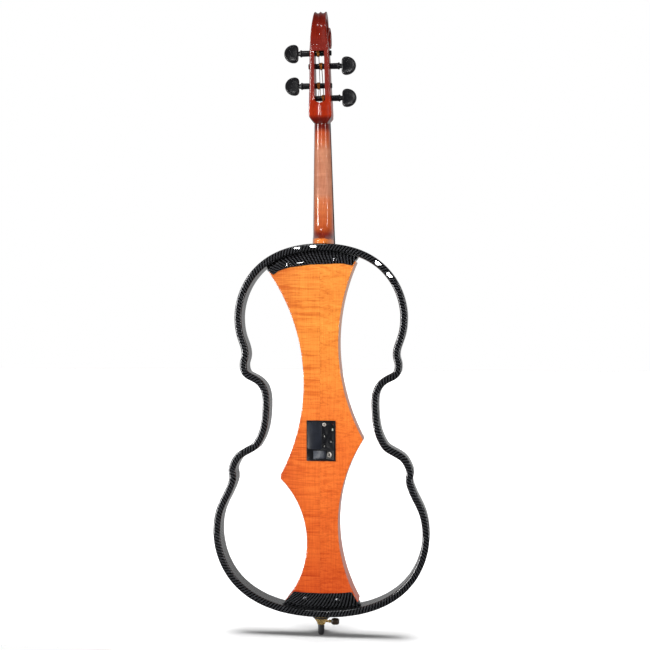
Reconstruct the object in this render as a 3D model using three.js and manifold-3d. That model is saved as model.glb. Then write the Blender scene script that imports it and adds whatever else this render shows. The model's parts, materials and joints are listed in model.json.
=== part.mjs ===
// A skeleton electric cello. A carbon hoop in the outline of a cello carries a slim flamed-maple sound box, which
// zigzags down its middle and holds the battery, the preamp and the pickup. The neck, pegs, strings, bridge,
// tailpiece and endpin are those of a full-size cello.
//
// Millimetres, +Z up. The strings face -Y and the preamp faces +Y; the bass side is -X. Heights are measured from
// the lower edge of the hoop, and at the end the whole is lifted so that the endpin's tip stands on Z = 0.
import * as THREE from "three";
import { mergeVertices } from "three/addons/utils/BufferGeometryUtils.js";
import Module from "manifold-3d";

const wasm = await Module();
wasm.setup();

// ---------------------------------------------------------------- driving dimensions

const GAP = 0.3; // clearance between neighbouring pieces
const BODY_LENGTH = 755;
const ENDPIN_STAND = 40; // from the endpin's tip to the hoop's lower edge

const RAIL = { width: 14.5, depth: 45, chamfer: 3 };
const RAIL_BACK = RAIL.depth / 2;

// The sound box: its back is a little below the hoop's back, and its top is a shallow cylinder.
const BOX = { back: 20.5, plate: 4, wall: 4, archRadius: 560, archTop: -30.5, endInset: RAIL.width + 11 };
const PLATE_INNER = BOX.back - BOX.plate;

const NECK = { angle: THREE.MathUtils.degToRad(6.4), root: -47.5 };
const BRIDGE = { height: 344, top: -115.5, topRadius: 62, thick: 10, thin: 2.8 };
const TAILPIECE = { bottom: [-45.5, 30], length: 212, angle: THREE.MathUtils.degToRad(7.6) };
const COLLAR = { radius: 13.7, plug: 8, bottom: -18.6, plugTop: 46 };
const BRACKET = { front: -7, footBack: 10.5 };
const ROD = { radius: 5, bottom: -30, top: 300 };

// Each string: where it crosses the nut, the bridge and the tailpiece, and its peg. head is the side its peg's
// head is on, y and z the peg's axis, wound the middle of its winding.
const STRINGS = {
  c: { radius: 0.95, nut: -11.3, bridge: -23.5, tail: -19.5, head: -1, y: 5.3, z: 1050, wound: -5.2 },
  g: { radius: 0.75, nut: -3.8, bridge: -7.8, tail: -6.5, head: -1, y: 17.8, z: 1112, wound: -2.2 },
  d: { radius: 0.6, nut: 3.8, bridge: 7.8, tail: 6.5, head: 1, y: 22, z: 1137.5, wound: 3.4 },
  a: { radius: 0.5, nut: 11.3, bridge: 23.5, tail: 19.5, head: 1, y: 10.2, z: 1074.5, wound: 3.8 },
};

// ---------------------------------------------------------------- materials

function material(color, roughness, metalness = 0) {
  return new THREE.MeshStandardMaterial({ color, roughness, metalness });
}

const CARBON = material(0x15171a, 0.18);
const MAPLE = material(0xe5792a, 0.22);
const SPRUCE = material(0xd9a15c, 0.35);
const PLAIN_WOOD = material(0xcfae80, 0.7);
const NECK_WOOD = material(0xa8441c, 0.25);
const EBONY = material(0x17161a, 0.35);
const BRIDGE_WOOD = material(0xd8b27a, 0.6);
const STEEL = material(0xb9bcc0, 0.3, 1);
const BRASS = material(0xc99b3a, 0.25, 1);
const COPPER = material(0xb5702a, 0.4, 0.8);
const BLACK_PLASTIC = material(0x1a1c20, 0.45);
const BLACK_METAL = material(0x1b1b1d, 0.3, 0.9);
const RUBBER = material(0x121212, 0.85);
const BOARD_GREEN = material(0x1f5a35, 0.5);
const LENS_RED = material(0xa01818, 0.2);

// ---------------------------------------------------------------- solids and lofts

const v3 = (x, y, z) => new THREE.Vector3(x, y, z);

// A closed geometry as a manifold-3d solid, for cutting and joining.
function toSolid(geometry) {
  const bare = geometry.index ? geometry.toNonIndexed() : geometry.clone();
  bare.deleteAttribute("normal");
  bare.deleteAttribute("uv");
  const merged = mergeVertices(bare, 1e-3);
  return new wasm.Manifold(
    new wasm.Mesh({
      numProp: 3,
      vertProperties: merged.attributes.position.array,
      triVerts: new Uint32Array(merged.index.array),
    }),
  );
}

function toGeometry(solid) {
  const mesh = solid.getMesh();
  const geometry = new THREE.BufferGeometry();
  geometry.setAttribute("position", new THREE.BufferAttribute(mesh.vertProperties, 3));
  geometry.setIndex(new THREE.BufferAttribute(mesh.triVerts, 1));
  return geometry;
}

const join = (...solids) => solids.reduce((whole, next) => whole.add(next));
const cut = (solid, ...tools) => tools.reduce((left, tool) => left.subtract(tool), solid);

function extrude(shape, depth, segments) {
  return new THREE.ExtrudeGeometry(shape, { depth, bevelEnabled: false, curveSegments: segments });
}

// A shape drawn in X and Z, solid from one Y to another.
function slabXZ(shape, yFrom, yTo, segments = 8) {
  return toSolid(extrude(shape, yTo - yFrom, segments).rotateX(Math.PI / 2).translate(0, yTo, 0));
}

// A shape drawn in Y and Z, solid from one X to another.
function slabYZ(shape, xFrom, xTo, segments = 8) {
  const turn = new THREE.Matrix4().set(0, 0, 1, 0, 1, 0, 0, 0, 0, 1, 0, 0, 0, 0, 0, 1);
  return toSolid(extrude(shape, xTo - xFrom, segments).applyMatrix4(turn).translate(xFrom, 0, 0));
}

// A shape drawn in X and Y, solid from one Z to another.
function slabXY(shape, zFrom, zTo, segments = 8) {
  return toSolid(extrude(shape, zTo - zFrom, segments).translate(0, 0, zFrom));
}

function polygon(points) {
  return new THREE.Shape(points.map(([x, y]) => new THREE.Vector2(x, y)));
}

function block(x0, x1, y0, y1, z0, z1) {
  const box = new THREE.BoxGeometry(x1 - x0, y1 - y0, z1 - z0);
  return toSolid(box.translate((x0 + x1) / 2, (y0 + y1) / 2, (z0 + z1) / 2));
}

// A round bar from one point to another.
function bar(from, to, radius, sides = 16) {
  const along = to.clone().sub(from);
  const turn = new THREE.Quaternion().setFromUnitVectors(v3(0, 1, 0), along.clone().normalize());
  const cylinder = new THREE.CylinderGeometry(radius, radius, along.length(), sides);
  const middle = from.clone().add(to).multiplyScalar(0.5);
  return toSolid(cylinder.applyQuaternion(turn).translate(middle.x, middle.y, middle.z));
}

// A turned piece: profile is [radius, distance along the axis] from its foot to its head, and axis its direction.
function turned(profile, axis, origin = v3(0, 0, 0), sides = 16) {
  const lathe = new THREE.LatheGeometry(profile.map(([r, d]) => new THREE.Vector2(r, d)), sides);
  const turn = new THREE.Quaternion().setFromUnitVectors(v3(0, 1, 0), axis.clone().normalize());
  return toSolid(lathe.applyQuaternion(turn).translate(origin.x, origin.y, origin.z));
}

// Loops of points, one after the other, joined into one skin. Each loop runs anticlockwise seen from ahead.
function loft(loops, closed = false) {
  const count = loops[0].length;
  const index = [];
  const bands = closed ? loops.length : loops.length - 1;
  for (let i = 0; i < bands; i++) {
    const near = i * count;
    const far = ((i + 1) % loops.length) * count;
    for (let j = 0; j < count; j++) {
      const k = (j + 1) % count;
      index.push(near + j, near + k, far + k, near + j, far + k, far + j);
    }
  }
  if (!closed) {
    const last = (loops.length - 1) * count;
    for (let j = 1; j < count - 1; j++) {
      index.push(0, j + 1, j, last, last + j, last + j + 1);
    }
  }
  const geometry = new THREE.BufferGeometry().setFromPoints(loops.flat());
  geometry.setIndex(index);
  return geometry;
}

// A round cord or wire through the given points.
function strand(points, radius, sides = 8) {
  const steps = points.slice(1).map((p, i) => p.clone().sub(points[i]).normalize());
  let across = null;
  const loops = points.map((point, i) => {
    const before = steps[Math.max(i - 1, 0)];
    const after = steps[Math.min(i, steps.length - 1)];
    const ahead = before.clone().add(after).normalize();
    across ??= Math.abs(ahead.x) < 0.9 ? v3(1, 0, 0) : v3(0, 1, 0);
    across = across.clone().addScaledVector(ahead, -across.dot(ahead)).normalize();
    const up = ahead.clone().cross(across);
    return Array.from({ length: sides }, (_, k) => {
      const angle = (2 * Math.PI * k) / sides;
      return point
        .clone()
        .addScaledVector(across, radius * Math.cos(angle))
        .addScaledVector(up, radius * Math.sin(angle));
    });
  });
  return loft(loops);
}

// ---------------------------------------------------------------- the hoop and the sound box's outlines

// Half of the hoop's outer edge, from the top down: Bezier pieces of two handles and an end, as (half width, height).
const HALF_HOOP = [
  [146, 755, 176, 651, 176, 606], // upper bout
  [176, 561, 161, 551, 161, 530],
  [161, 523, 165, 518, 165, 509], // upper corner
  [165, 463, 118, 492, 118, 433], // waist
  [118, 385, 126, 368, 136, 352],
  [142, 343, 165, 338, 176, 324], // lower corner
  [182, 316, 189, 302, 188.5, 292],
  [188, 287, 186, 283, 187, 276],
  [198, 236, 220, 226, 220, 168], // lower bout
  [220, 141, 209, 0, 0, 0],
];
const HOOP_STEP = 21; // length of one straight facet

function hoopEdge() {
  const path = new THREE.Path();
  path.moveTo(0, BODY_LENGTH);
  for (const handles of HALF_HOOP) path.bezierCurveTo(...handles);
  const half = [new THREE.Vector2(0, BODY_LENGTH)];
  for (const curve of path.curves) {
    const facets = Math.max(2, Math.ceil(curve.getLength() / HOOP_STEP));
    half.push(...curve.getPoints(facets).slice(1));
  }
  const mirrored = half.slice(1, -1).reverse().map((p) => new THREE.Vector2(-p.x, p.y));
  return [...half, ...mirrored];
}

const HOOP_EDGE = hoopEdge();

// The way into the hoop at each point of its outer edge, long enough that moved facets keep their distance.
const HOOP_INWARD = HOOP_EDGE.map((point, i) => {
  const count = HOOP_EDGE.length;
  const before = point.clone().sub(HOOP_EDGE[(i + count - 1) % count]).normalize();
  const after = HOOP_EDGE[(i + 1) % count].clone().sub(point).normalize();
  const ahead = before.clone().add(after).normalize();
  return new THREE.Vector2(ahead.y, -ahead.x).divideScalar(ahead.dot(after));
});

// All that lies between the hoop's top and its bottom, each moved in by inset. The sound box doesn't reach the
// hoop's sides, so these run straight from the upper bout to the lower one.
const UPPER_END = 640;
const LOWER_END = 130;

function insideHoop(inset, yFrom, yTo) {
  const moved = HOOP_EDGE.map((p, i) => p.clone().addScaledVector(HOOP_INWARD[i], inset));
  const ends = moved.filter((_, i) => HOOP_EDGE[i].y > UPPER_END || HOOP_EDGE[i].y < LOWER_END);
  return slabXZ(new THREE.Shape(ends), yFrom, yTo);
}

// The zigzag edges of the sound box are arcs that bow inwards. waist is an arc's least distance from the middle
// and height where that is; a side's two arcs meet at a blunt tip.
const BOX_EDGES = [
  { side: 1, upper: { waist: 34, height: 472, radius: 392 }, lower: { waist: 27, height: 150, radius: 180 },
    tip: [286, 278] },
  { side: -1, upper: { waist: 37, height: 553, radius: 400 }, lower: { waist: 36.3, height: 188, radius: 312 },
    tip: [360, 356] },
];
const ARC_FACETS = 11;

function arcPoints(side, arc, inset, from, to) {
  const radius = arc.radius + inset;
  return Array.from({ length: ARC_FACETS + 1 }, (_, i) => {
    const height = from + ((to - from) * i) / ARC_FACETS;
    const x = arc.waist + arc.radius - Math.sqrt(radius ** 2 - (height - arc.height) ** 2);
    return new THREE.Vector2(side * x, height);
  });
}

function boxEdge({ side, upper, lower, tip }, inset) {
  return [
    ...arcPoints(side, upper, inset, BODY_LENGTH, tip[0]),
    ...arcPoints(side, lower, inset, tip[1], 0),
  ];
}

// The zigzag strip between the two edges, the hoop's whole height.
function strip(inset, yFrom, yTo) {
  const [left, right] = BOX_EDGES.map((edge) => boxEdge(edge, inset));
  return slabXZ(new THREE.Shape([...left, ...right.reverse()]), yFrom, yTo);
}

// The sound box's volume: the strip, ended a little short of the hoop.
function boxVolume(inset, yFrom, yTo) {
  return strip(inset, yFrom, yTo).intersect(insideHoop(BOX.endInset + inset, yFrom, yTo));
}

// Everything behind the arched top, with the arch's surface moved back by inset.
function behindArch(inset) {
  const reach = 150;
  const radius = BOX.archRadius - inset;
  const centre = BOX.archTop + BOX.archRadius;
  const half = Math.asin(reach / radius);
  const shape = new THREE.Shape();
  shape.absarc(0, centre, radius, -Math.PI / 2 - half, -Math.PI / 2 + half, false);
  shape.lineTo(reach, RAIL_BACK);
  shape.lineTo(-reach, RAIL_BACK);
  return slabXY(shape, 0, BODY_LENGTH, 24);
}

// ---------------------------------------------------------------- neck frame

// The neck's front face, where the fingerboard is glued, at a height.
const glueFace = (height) => NECK.root + (height - BODY_LENGTH) * Math.tan(NECK.angle);

// A point given across the neck, out of the glue face and along it, in the body's frame.
function onNeck(x, out, along) {
  return v3(x, -out, along).applyAxisAngle(v3(1, 0, 0), -NECK.angle).add(v3(0, NECK.root, BODY_LENGTH));
}

// A point given across the tailpiece, out of its underside and along it, in the body's frame.
function onTailpiece(x, out, along) {
  return v3(x, -out, along)
    .applyAxisAngle(v3(1, 0, 0), TAILPIECE.angle)
    .add(v3(0, TAILPIECE.bottom[0], TAILPIECE.bottom[1]));
}

const neckGroup = new THREE.Group();
neckGroup.position.set(0, NECK.root, BODY_LENGTH);
neckGroup.rotation.x = -NECK.angle;

const tailpieceGroup = new THREE.Group();
tailpieceGroup.position.set(0, ...TAILPIECE.bottom);
tailpieceGroup.rotation.x = TAILPIECE.angle;

const bodyGroup = new THREE.Group();
bodyGroup.add(neckGroup, tailpieceGroup);

function place(name, shape, look, group = bodyGroup) {
  const mesh = new THREE.Mesh(shape.isBufferGeometry ? shape : toGeometry(shape), look);
  mesh.name = name;
  group.add(mesh);
}

// ---------------------------------------------------------------- hoop

function makeHoop() {
  const { width, chamfer } = RAIL;
  const section = [
    [chamfer, -RAIL_BACK], [width - chamfer, -RAIL_BACK], [width, chamfer - RAIL_BACK], [width, RAIL_BACK - chamfer],
    [width - chamfer, RAIL_BACK], [chamfer, RAIL_BACK], [0, RAIL_BACK - chamfer], [0, chamfer - RAIL_BACK],
  ];
  const loops = HOOP_EDGE.map((edge, i) =>
    section.map(([inset, y]) => v3(edge.x + HOOP_INWARD[i].x * inset, y, edge.y + HOOP_INWARD[i].y * inset)),
  );
  const plugHole = bar(v3(0, 0, -5), v3(0, 0, 30), COLLAR.plug + GAP, 24);
  place("carbon_frame", cut(toSolid(loft(loops, true)), plugHole), CARBON);
}

// ---------------------------------------------------------------- sound box

const TENON = { half: 20, bottom: 700, deep: -8, top: 727 };
const PREAMP = { left: 26.8, right: -31.8, bottom: 316, top: 397.4, flange: 2, border: 2.4, depth: 28.8 };
const BRACKET_SCREWS = {
  top_left: [64.4, 714], top_right: [-30.6, 722], bottom_left: [30.2, 38], bottom_right: [-36.4, 37],
};
const SCREW = { shank: 1.9, head: 4, headHeight: 1.6, tip: 6 };

function screwHoles() {
  const holes = Object.values(BRACKET_SCREWS).map(([x, z]) =>
    bar(v3(x, SCREW.tip - 1, z), v3(x, RAIL_BACK + 5, z), SCREW.shank + GAP, 12),
  );
  return join(...holes);
}

// The room that the neck's foot takes, in front of the hoop and hooked down behind the top.
function tenonRoom(clearance) {
  const { half, bottom, deep, top } = TENON;
  return join(
    block(-half - clearance, half + clearance, -70, deep + clearance, bottom - clearance, top + clearance),
    block(-half - clearance, half + clearance, -70, clearance - RAIL_BACK - GAP, bottom, BODY_LENGTH + GAP),
  );
}

function makeSoundBox() {
  const front = -60;
  const plugHole = bar(v3(0, 0, 0), v3(0, 0, 60), COLLAR.plug + GAP, 24);
  const inside = behindArch(BOX.plate + GAP);

  const preampHole = block(
    PREAMP.right + PREAMP.border - GAP, PREAMP.left - PREAMP.border + GAP, 0, 40,
    PREAMP.bottom + PREAMP.border - GAP, PREAMP.top - PREAMP.border + GAP,
  );
  place("back_plate", cut(boxVolume(0, PLATE_INNER, BOX.back), preampHole, screwHoles()), MAPLE);

  const arch = cut(behindArch(0), behindArch(BOX.plate));
  place("top_plate", cut(boxVolume(0, front, 0).intersect(arch), tenonRoom(GAP)), SPRUCE);

  const walls = cut(boxVolume(0, front, PLATE_INNER - GAP), boxVolume(BOX.wall, front, PLATE_INNER));
  place("ribs", cut(walls.intersect(inside), plugHole, tenonRoom(GAP), screwHoles()), MAPLE);

  const fill = boxVolume(BOX.wall + GAP, front, PLATE_INNER - GAP).intersect(inside);
  const neckEnd = fill.intersect(block(-200, 200, front, 40, 676, BODY_LENGTH));
  place("neck_block", cut(neckEnd, tenonRoom(GAP), screwHoles()), PLAIN_WOOD);
  const tailEnd = fill.intersect(block(-200, 200, front, 40, 0, 58));
  place("end_block", cut(tailEnd, plugHole, screwHoles()), PLAIN_WOOD);
}

// A carbon bracket: a face plate over the box's end, a riser past the end and a foot bonded inside the hoop.
function makeBracket(name, face, zFrom, zTo) {
  const zone = block(-200, 200, -60, 60, zFrom, zTo);
  const band = (outer, inner, yFrom, yTo) =>
    cut(insideHoop(RAIL.width + outer, yFrom, yTo), insideHoop(RAIL.width + inner, yFrom - 1, yTo + 1));
  const boxEnd = BOX.endInset - RAIL.width - GAP;
  const bracket = join(
    band(face.outer, face.inner, BOX.back + GAP, RAIL_BACK),
    band(face.outer, boxEnd, BRACKET.front, RAIL_BACK),
    band(GAP, boxEnd, BRACKET.front, BRACKET.footBack),
  );
  const shaped = bracket.intersect(strip(0, -60, 60)).intersect(zone);
  const plugHole = bar(v3(0, 0, 0), v3(0, 0, 40), COLLAR.plug + GAP, 24);
  place(name, cut(shaped, screwHoles(), plugHole), CARBON);
}

function makeBracketScrews() {
  const { shank, head, headHeight, tip } = SCREW;
  const seat = RAIL_BACK + GAP;
  const profile = [
    [0, tip], [shank, tip + 2], [shank, seat], [head, seat], [head, seat + 0.5], [head * 0.6, seat + headHeight],
    [0, seat + headHeight],
  ];
  for (const [name, [x, z]] of Object.entries(BRACKET_SCREWS)) {
    place("bracket_screw_" + name, turned(profile, v3(0, 1, 0), v3(x, 0, z), 12), BLACK_METAL);
  }
}

// ---------------------------------------------------------------- neck, pegbox and scroll

// Half width and depth of the neck at each height, from the heel's button up.
const NECK_SECTIONS = [
  [755.3, 21.5, 64], [764, 21.5, 61], [770, 21.4, 48], [779, 21.2, 37], [793, 20.7, 29.5], [815, 20, 25.5],
  [850, 19.2, 23], [930, 17.4, 21.5], [985, 16, 20.5], [1016, 15.5, 21],
];
const HEEL_FOOT = 755.3;

// A D-shaped section: flat on the glue face, round at the back.
function neckLoop([height, half, depth]) {
  const facets = 10;
  const blunt = 0.85;
  return Array.from({ length: facets + 1 }, (_, i) => {
    const angle = (Math.PI * i) / facets;
    const across = Math.sign(Math.cos(angle)) * Math.abs(Math.cos(angle)) ** blunt;
    return v3(half * across, glueFace(height) + depth * Math.sin(angle) ** blunt, height);
  });
}

const SCROLL_EYE = v3(0, 2, 1169);

// The pegbox and scroll seen from the side, as (Y, height).
function headProfile() {
  const shape = new THREE.Shape();
  shape.moveTo(glueFace(1002), 1002);
  shape.lineTo(glueFace(1036), 1036);
  shape.lineTo(-19.5, 1038);
  shape.lineTo(4, 1124);
  shape.bezierCurveTo(-18, 1128, -38, 1146, -38, 1174);
  shape.bezierCurveTo(-38, 1208, -18, 1228, 4, 1228);
  shape.bezierCurveTo(28, 1228, 44, 1203, 44, 1174);
  shape.bezierCurveTo(44, 1158, 40, 1150, 38, 1137);
  shape.lineTo(25, 1036);
  shape.bezierCurveTo(24, 1018, 20, 1003, 9, 1002);
  return shape;
}

// The pegbox and scroll seen from behind: half width and height, from the shoulders up.
function headOutline() {
  const half = [[15, 1001], [15.8, 1008], [23.5, 1010], [23.5, 1020], [20.5, 1080], [19.5, 1140], [15.5, 1180],
    [12, 1229]];
  const mirrored = half.map(([x, z]) => [-x, z]).reverse();
  return polygon([...half, ...mirrored]);
}

// The slot that runs right through the pegbox, roofed at the back just over the highest peg.
function pegSlot() {
  const outline = new THREE.Shape();
  outline.moveTo(-11, 1042);
  outline.lineTo(0, 1037);
  outline.lineTo(11, 1042);
  outline.lineTo(10, 1139);
  outline.absarc(0, 1139, 10, 0, Math.PI, false);
  const reach = polygon([
    [-60, 1030], [60, 1030], [60, 1139], [32, 1139], [31, 1149], [10, 1149], [0, 1120], [-60, 1120],
  ]);
  const mouth = polygon([[-60, 1034.5], [-9, 1034.5], [2, 1042], [2, 1060], [-60, 1060]]);
  return join(slabXZ(outline, -60, 60).intersect(slabYZ(reach, -20, 20)), slabYZ(mouth, -12.8, 12.8));
}

const PEG = { far: -23.5, collar: 36, near: 6.1, end: 5.2, play: 0.4 };

function pegHole({ head, y, z }) {
  const profile = [
    [0, PEG.far - 10], [PEG.end + PEG.play, PEG.far - 10], [PEG.end + PEG.play, PEG.far],
    [PEG.near + PEG.play, PEG.collar], [0, PEG.collar],
  ];
  return turned(profile, v3(head, 0, 0), v3(0, y, z), 16);
}

// The carved turns on each side of the scroll, as a raised disc and an eye.
function scrollTurns() {
  const turn = bar(v3(-19, SCROLL_EYE.y, SCROLL_EYE.z), v3(19, SCROLL_EYE.y, SCROLL_EYE.z), 16, 20);
  const eye = bar(v3(-21.3, SCROLL_EYE.y, SCROLL_EYE.z), v3(21.3, SCROLL_EYE.y, SCROLL_EYE.z), 8, 14);
  return join(turn, eye);
}

function makeNeck() {
  const handle = toSolid(loft(NECK_SECTIONS.map(neckLoop)));
  const head = slabYZ(headProfile(), -30, 30, 10).intersect(slabXZ(headOutline(), -60, 60));
  const foot = block(-TENON.half, TENON.half, glueFace(HEEL_FOOT) + 0.5, TENON.deep, TENON.bottom, TENON.top);
  const footFront = block(
    -TENON.half, TENON.half, glueFace(HEEL_FOOT) + 0.5, -RAIL_BACK - GAP, TENON.bottom, HEEL_FOOT + 4,
  );
  const glued = polygon([[glueFace(600), 600], [60, 600], [60, 1300], [glueFace(1036), 1300], [glueFace(1036), 1036]]);
  const lower = join(handle, foot, footFront).intersect(slabYZ(glued, -60, 60));
  const holes = Object.values(STRINGS).map(pegHole);
  place("neck_and_scroll", cut(join(lower, head, scrollTurns()), pegSlot(), ...holes), NECK_WOOD);
}

// ---------------------------------------------------------------- fingerboard and nut, on the glue face

const FINGERBOARD = {
  bottom: -315, top: 273.7, bottomHalf: 31, topHalf: 16, bottomThick: 14, topThick: 12, edge: 6,
};

function boardLoop(along, half, thick) {
  const facets = 8;
  const crown = Array.from({ length: facets + 1 }, (_, i) => {
    const x = -1 + (2 * i) / facets;
    return v3(half * x, -FINGERBOARD.edge - (thick - FINGERBOARD.edge) * (1 - x * x), along);
  });
  return [...crown, v3(half, -GAP, along), v3(-half, -GAP, along)];
}

function makeFingerboard() {
  const { bottom, top, bottomHalf, topHalf, bottomThick, topThick } = FINGERBOARD;
  const board = loft([boardLoop(bottom, bottomHalf, bottomThick), boardLoop(top, topHalf, topThick)]);
  place("fingerboard", board, EBONY, neckGroup);
}

const NUT = { thick: 5.6, flat: 3.4, rearDrop: 5.5, half: 16.3, high: 13.2, edge: 9 };

function makeNut() {
  const foot = FINGERBOARD.top + GAP;
  const loops = [[0, 0], [NUT.flat, 0], [NUT.thick, NUT.rearDrop]].map(([along, drop]) => {
    const crown = Array.from({ length: 7 }, (_, i) => {
      const x = -1 + i / 3;
      return v3(NUT.half * x, drop - NUT.edge - (NUT.high - NUT.edge) * (1 - x * x), foot + along);
    });
    return [...crown, v3(NUT.half, -GAP, foot + along), v3(-NUT.half, -GAP, foot + along)];
  });
  place("nut", loft(loops), EBONY, neckGroup);
}

// ---------------------------------------------------------------- pegs, windings and strings

const WINDING = { inner: 6.1, outer: 7.5, half: 3.6 };

// The peg's thumb piece: a rounded D with its flat side to the collar, seen from behind.
function pegHead() {
  const shape = new THREE.Shape();
  shape.moveTo(43.5, -9);
  shape.bezierCurveTo(43.5, -15, 47, -18.4, 53, -18.4);
  shape.bezierCurveTo(64, -18.4, 72.7, -10, 72.7, 0);
  shape.bezierCurveTo(72.7, 10, 64, 18.4, 53, 18.4);
  shape.bezierCurveTo(47, 18.4, 43.5, 15, 43.5, 9);
  return slabXZ(shape, -5.5, 5.5, 5);
}

function makePeg(name, { head, y, z }) {
  const { far, collar, near, end } = PEG;
  const profile = [
    [0, far], [end - 1, far], [end, far + 1], [near, collar], [7.1, collar + 0.8], [7.1, collar + 2.8],
    [5, collar + 4.5], [4.4, 46], [0, 46],
  ];
  const peg = join(turned(profile, v3(1, 0, 0), v3(0, 0, 0), 16), pegHead());
  const turn = head > 0 ? [0, 0, 0] : [0, 0, 180];
  place("peg_" + name, peg.rotate(turn).translate([0, y, z]), EBONY);
}

function makeWinding(name, { y, z, wound }) {
  const { inner, outer, half } = WINDING;
  const ring = [[inner, -half], [outer, -half], [outer, half], [inner, half], [inner, -half]];
  place("peg_winding_" + name, turned(ring, v3(1, 0, 0), v3(wound, y, z), 16), COPPER);
}

// How much lower than the middle the bridge's crown is at x.
const crownDrop = (x) => BRIDGE.topRadius - Math.sqrt(BRIDGE.topRadius ** 2 - x * x);

const TUNER = { hook: 198.5, screw: 176, slotHalf: 2.2, leverHalf: 1.5 };
const tailThickness = (x) => 11 - 4 * (x / 30) ** 2;

function makeString(name, { radius, nut, bridge, tail, y, z, wound }) {
  const nutSlot = NUT.edge + (NUT.high - NUT.edge) * (1 - (nut / NUT.half) ** 2);
  const over = GAP + radius;
  const route = [
    v3(wound, y - WINDING.outer - over, z),
    onNeck(nut, nutSlot + over, FINGERBOARD.top + NUT.flat + 2 * GAP),
    onNeck(nut, nutSlot + over, FINGERBOARD.top + 1),
    v3(bridge, BRIDGE.top + crownDrop(bridge) - over, BRIDGE.height + BRIDGE.thin / 2),
    v3(bridge, BRIDGE.top + crownDrop(bridge) - over, BRIDGE.height - BRIDGE.thin / 2),
    onTailpiece(tail, tailThickness(tail) + over + 1, TUNER.hook + 4.5),
  ];
  place("string_" + name, strand(route, radius), STEEL);
}

// ---------------------------------------------------------------- bridge

// Half of the bridge seen along the strings, from the middle of its arch round its foot and up its side:
// half width, and height over the arched top.
const HALF_BRIDGE = [
  [0, 19], [9, 17], [15, 11], [19, 2], [22, -6], [45, -6], [44, 3], [33, 10], [31, 24], [38, 33], [33, 47], [28, 56],
];
const CROWN_HALF = 25.5;

function bridgeOutline() {
  const side = HALF_BRIDGE.map(([x, high]) => [x, BOX.archTop - high]);
  const crown = [1, 0.67, 0.33, 0].map((t) => [t * CROWN_HALF, BRIDGE.top + crownDrop(t * CROWN_HALF)]);
  const half = [...side, ...crown];
  const mirrored = half.slice(1, -1).reverse().map(([x, y]) => [-x, y]);
  const shape = polygon([...half, ...mirrored]);
  const hole = (x, high, wide, tall) =>
    polygon(
      Array.from({ length: 12 }, (_, i) => {
        const angle = (Math.PI * i) / 6;
        return [x + wide * Math.cos(angle), BOX.archTop - high + tall * Math.sin(angle)];
      }),
    );
  shape.holes.push(hole(0, 42, 6, 7), hole(-22, 35, 6, 9), hole(22, 35, 6, 9));
  return shape;
}

function makeBridge() {
  const { height, thick, thin, top } = BRIDGE;
  const sheet = slabXY(bridgeOutline(), height - thick / 2, height + thick / 2, 7);
  const base = BOX.archTop - 10;
  const wedge = polygon([
    [base + 40, height - thick / 2], [base + 40, height + thick / 2], [base, height + thick / 2],
    [top - 1, height + thin / 2], [top - 1, height - thin / 2], [base, height - thick / 2],
  ]);
  place("bridge", cut(sheet.intersect(slabYZ(wedge, -60, 60)), behindArch(-GAP)), BRIDGE_WOOD);
}

// ---------------------------------------------------------------- tailpiece, fine tuners, saddle and tail cord

function tailLoop(along, half) {
  const facets = 8;
  const crown = Array.from({ length: facets + 1 }, (_, i) => {
    const x = half * (-1 + (2 * i) / facets);
    return v3(x, -tailThickness(x), along);
  });
  return [...crown, v3(half, 0, along), v3(-half, 0, along)];
}

const TAIL_CORD = { radius: 1.3, half: 6, out: 4 };

function makeTailpiece() {
  const { length } = TAILPIECE;
  const wood = toSolid(loft([tailLoop(0, 13), tailLoop(length * 0.55, 19), tailLoop(length, 30)]));
  const tuning = Object.values(STRINGS).flatMap(({ tail }) => [
    block(tail - TUNER.slotHalf, tail + TUNER.slotHalf, -30, 10, TUNER.hook - 8, TUNER.hook + 5),
    bar(v3(tail, -30, TUNER.screw), v3(tail, 10, TUNER.screw), 2, 12),
  ]);
  const cordHoles = [-1, 1].map((side) => {
    const x = side * TAIL_CORD.half;
    return bar(v3(x, -TAIL_CORD.out, -5), v3(x, -TAIL_CORD.out, 14), TAIL_CORD.radius + 0.5, 12);
  });
  place("tailpiece", cut(wood, ...tuning, ...cordHoles), EBONY, tailpieceGroup);
}

// A tuner's lever: a hook that stands up through the slot for the string, and an arm under the tailpiece.
function makeTunerLever(name, { tail }) {
  const { hook, screw, leverHalf } = TUNER;
  const over = -tailThickness(tail) - 3.5;
  const profile = polygon([
    [over, hook - 2], [over, hook + 1.2], [3.6, hook + 1.2], [3.6, screw - 4], [1.4, screw - 4], [1.4, hook - 2],
  ]);
  place("tuner_lever_" + name, slabYZ(profile, tail - leverHalf, tail + leverHalf), BLACK_METAL, tailpieceGroup);
}

function makeTunerScrew(name, { tail }) {
  const surface = tailThickness(tail) + GAP;
  const profile = [
    [0, -0.9], [1.5, -0.9], [1.5, surface + 1], [3.6, surface + 1.4], [3.6, surface + 5], [2.8, surface + 5.6],
    [0, surface + 5.6],
  ];
  const screw = turned(profile, v3(0, -1, 0), v3(tail, 0, TUNER.screw), 12);
  place("tuner_screw_" + name, screw, BLACK_METAL, tailpieceGroup);
}

const SADDLE = { half: 20, bottom: 2, top: 16, out: 17.5 };

function makeSaddle() {
  const back = -RAIL_BACK - GAP;
  const front = -RAIL_BACK - SADDLE.out;
  const profile = polygon([
    [back, SADDLE.bottom], [back, SADDLE.top], [front + 5, SADDLE.top], [front, SADDLE.top - 4],
    [front, SADDLE.bottom + 3], [front + 4, SADDLE.bottom],
  ]);
  place("saddle", slabYZ(profile, -SADDLE.half, SADDLE.half), EBONY);
}

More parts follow.
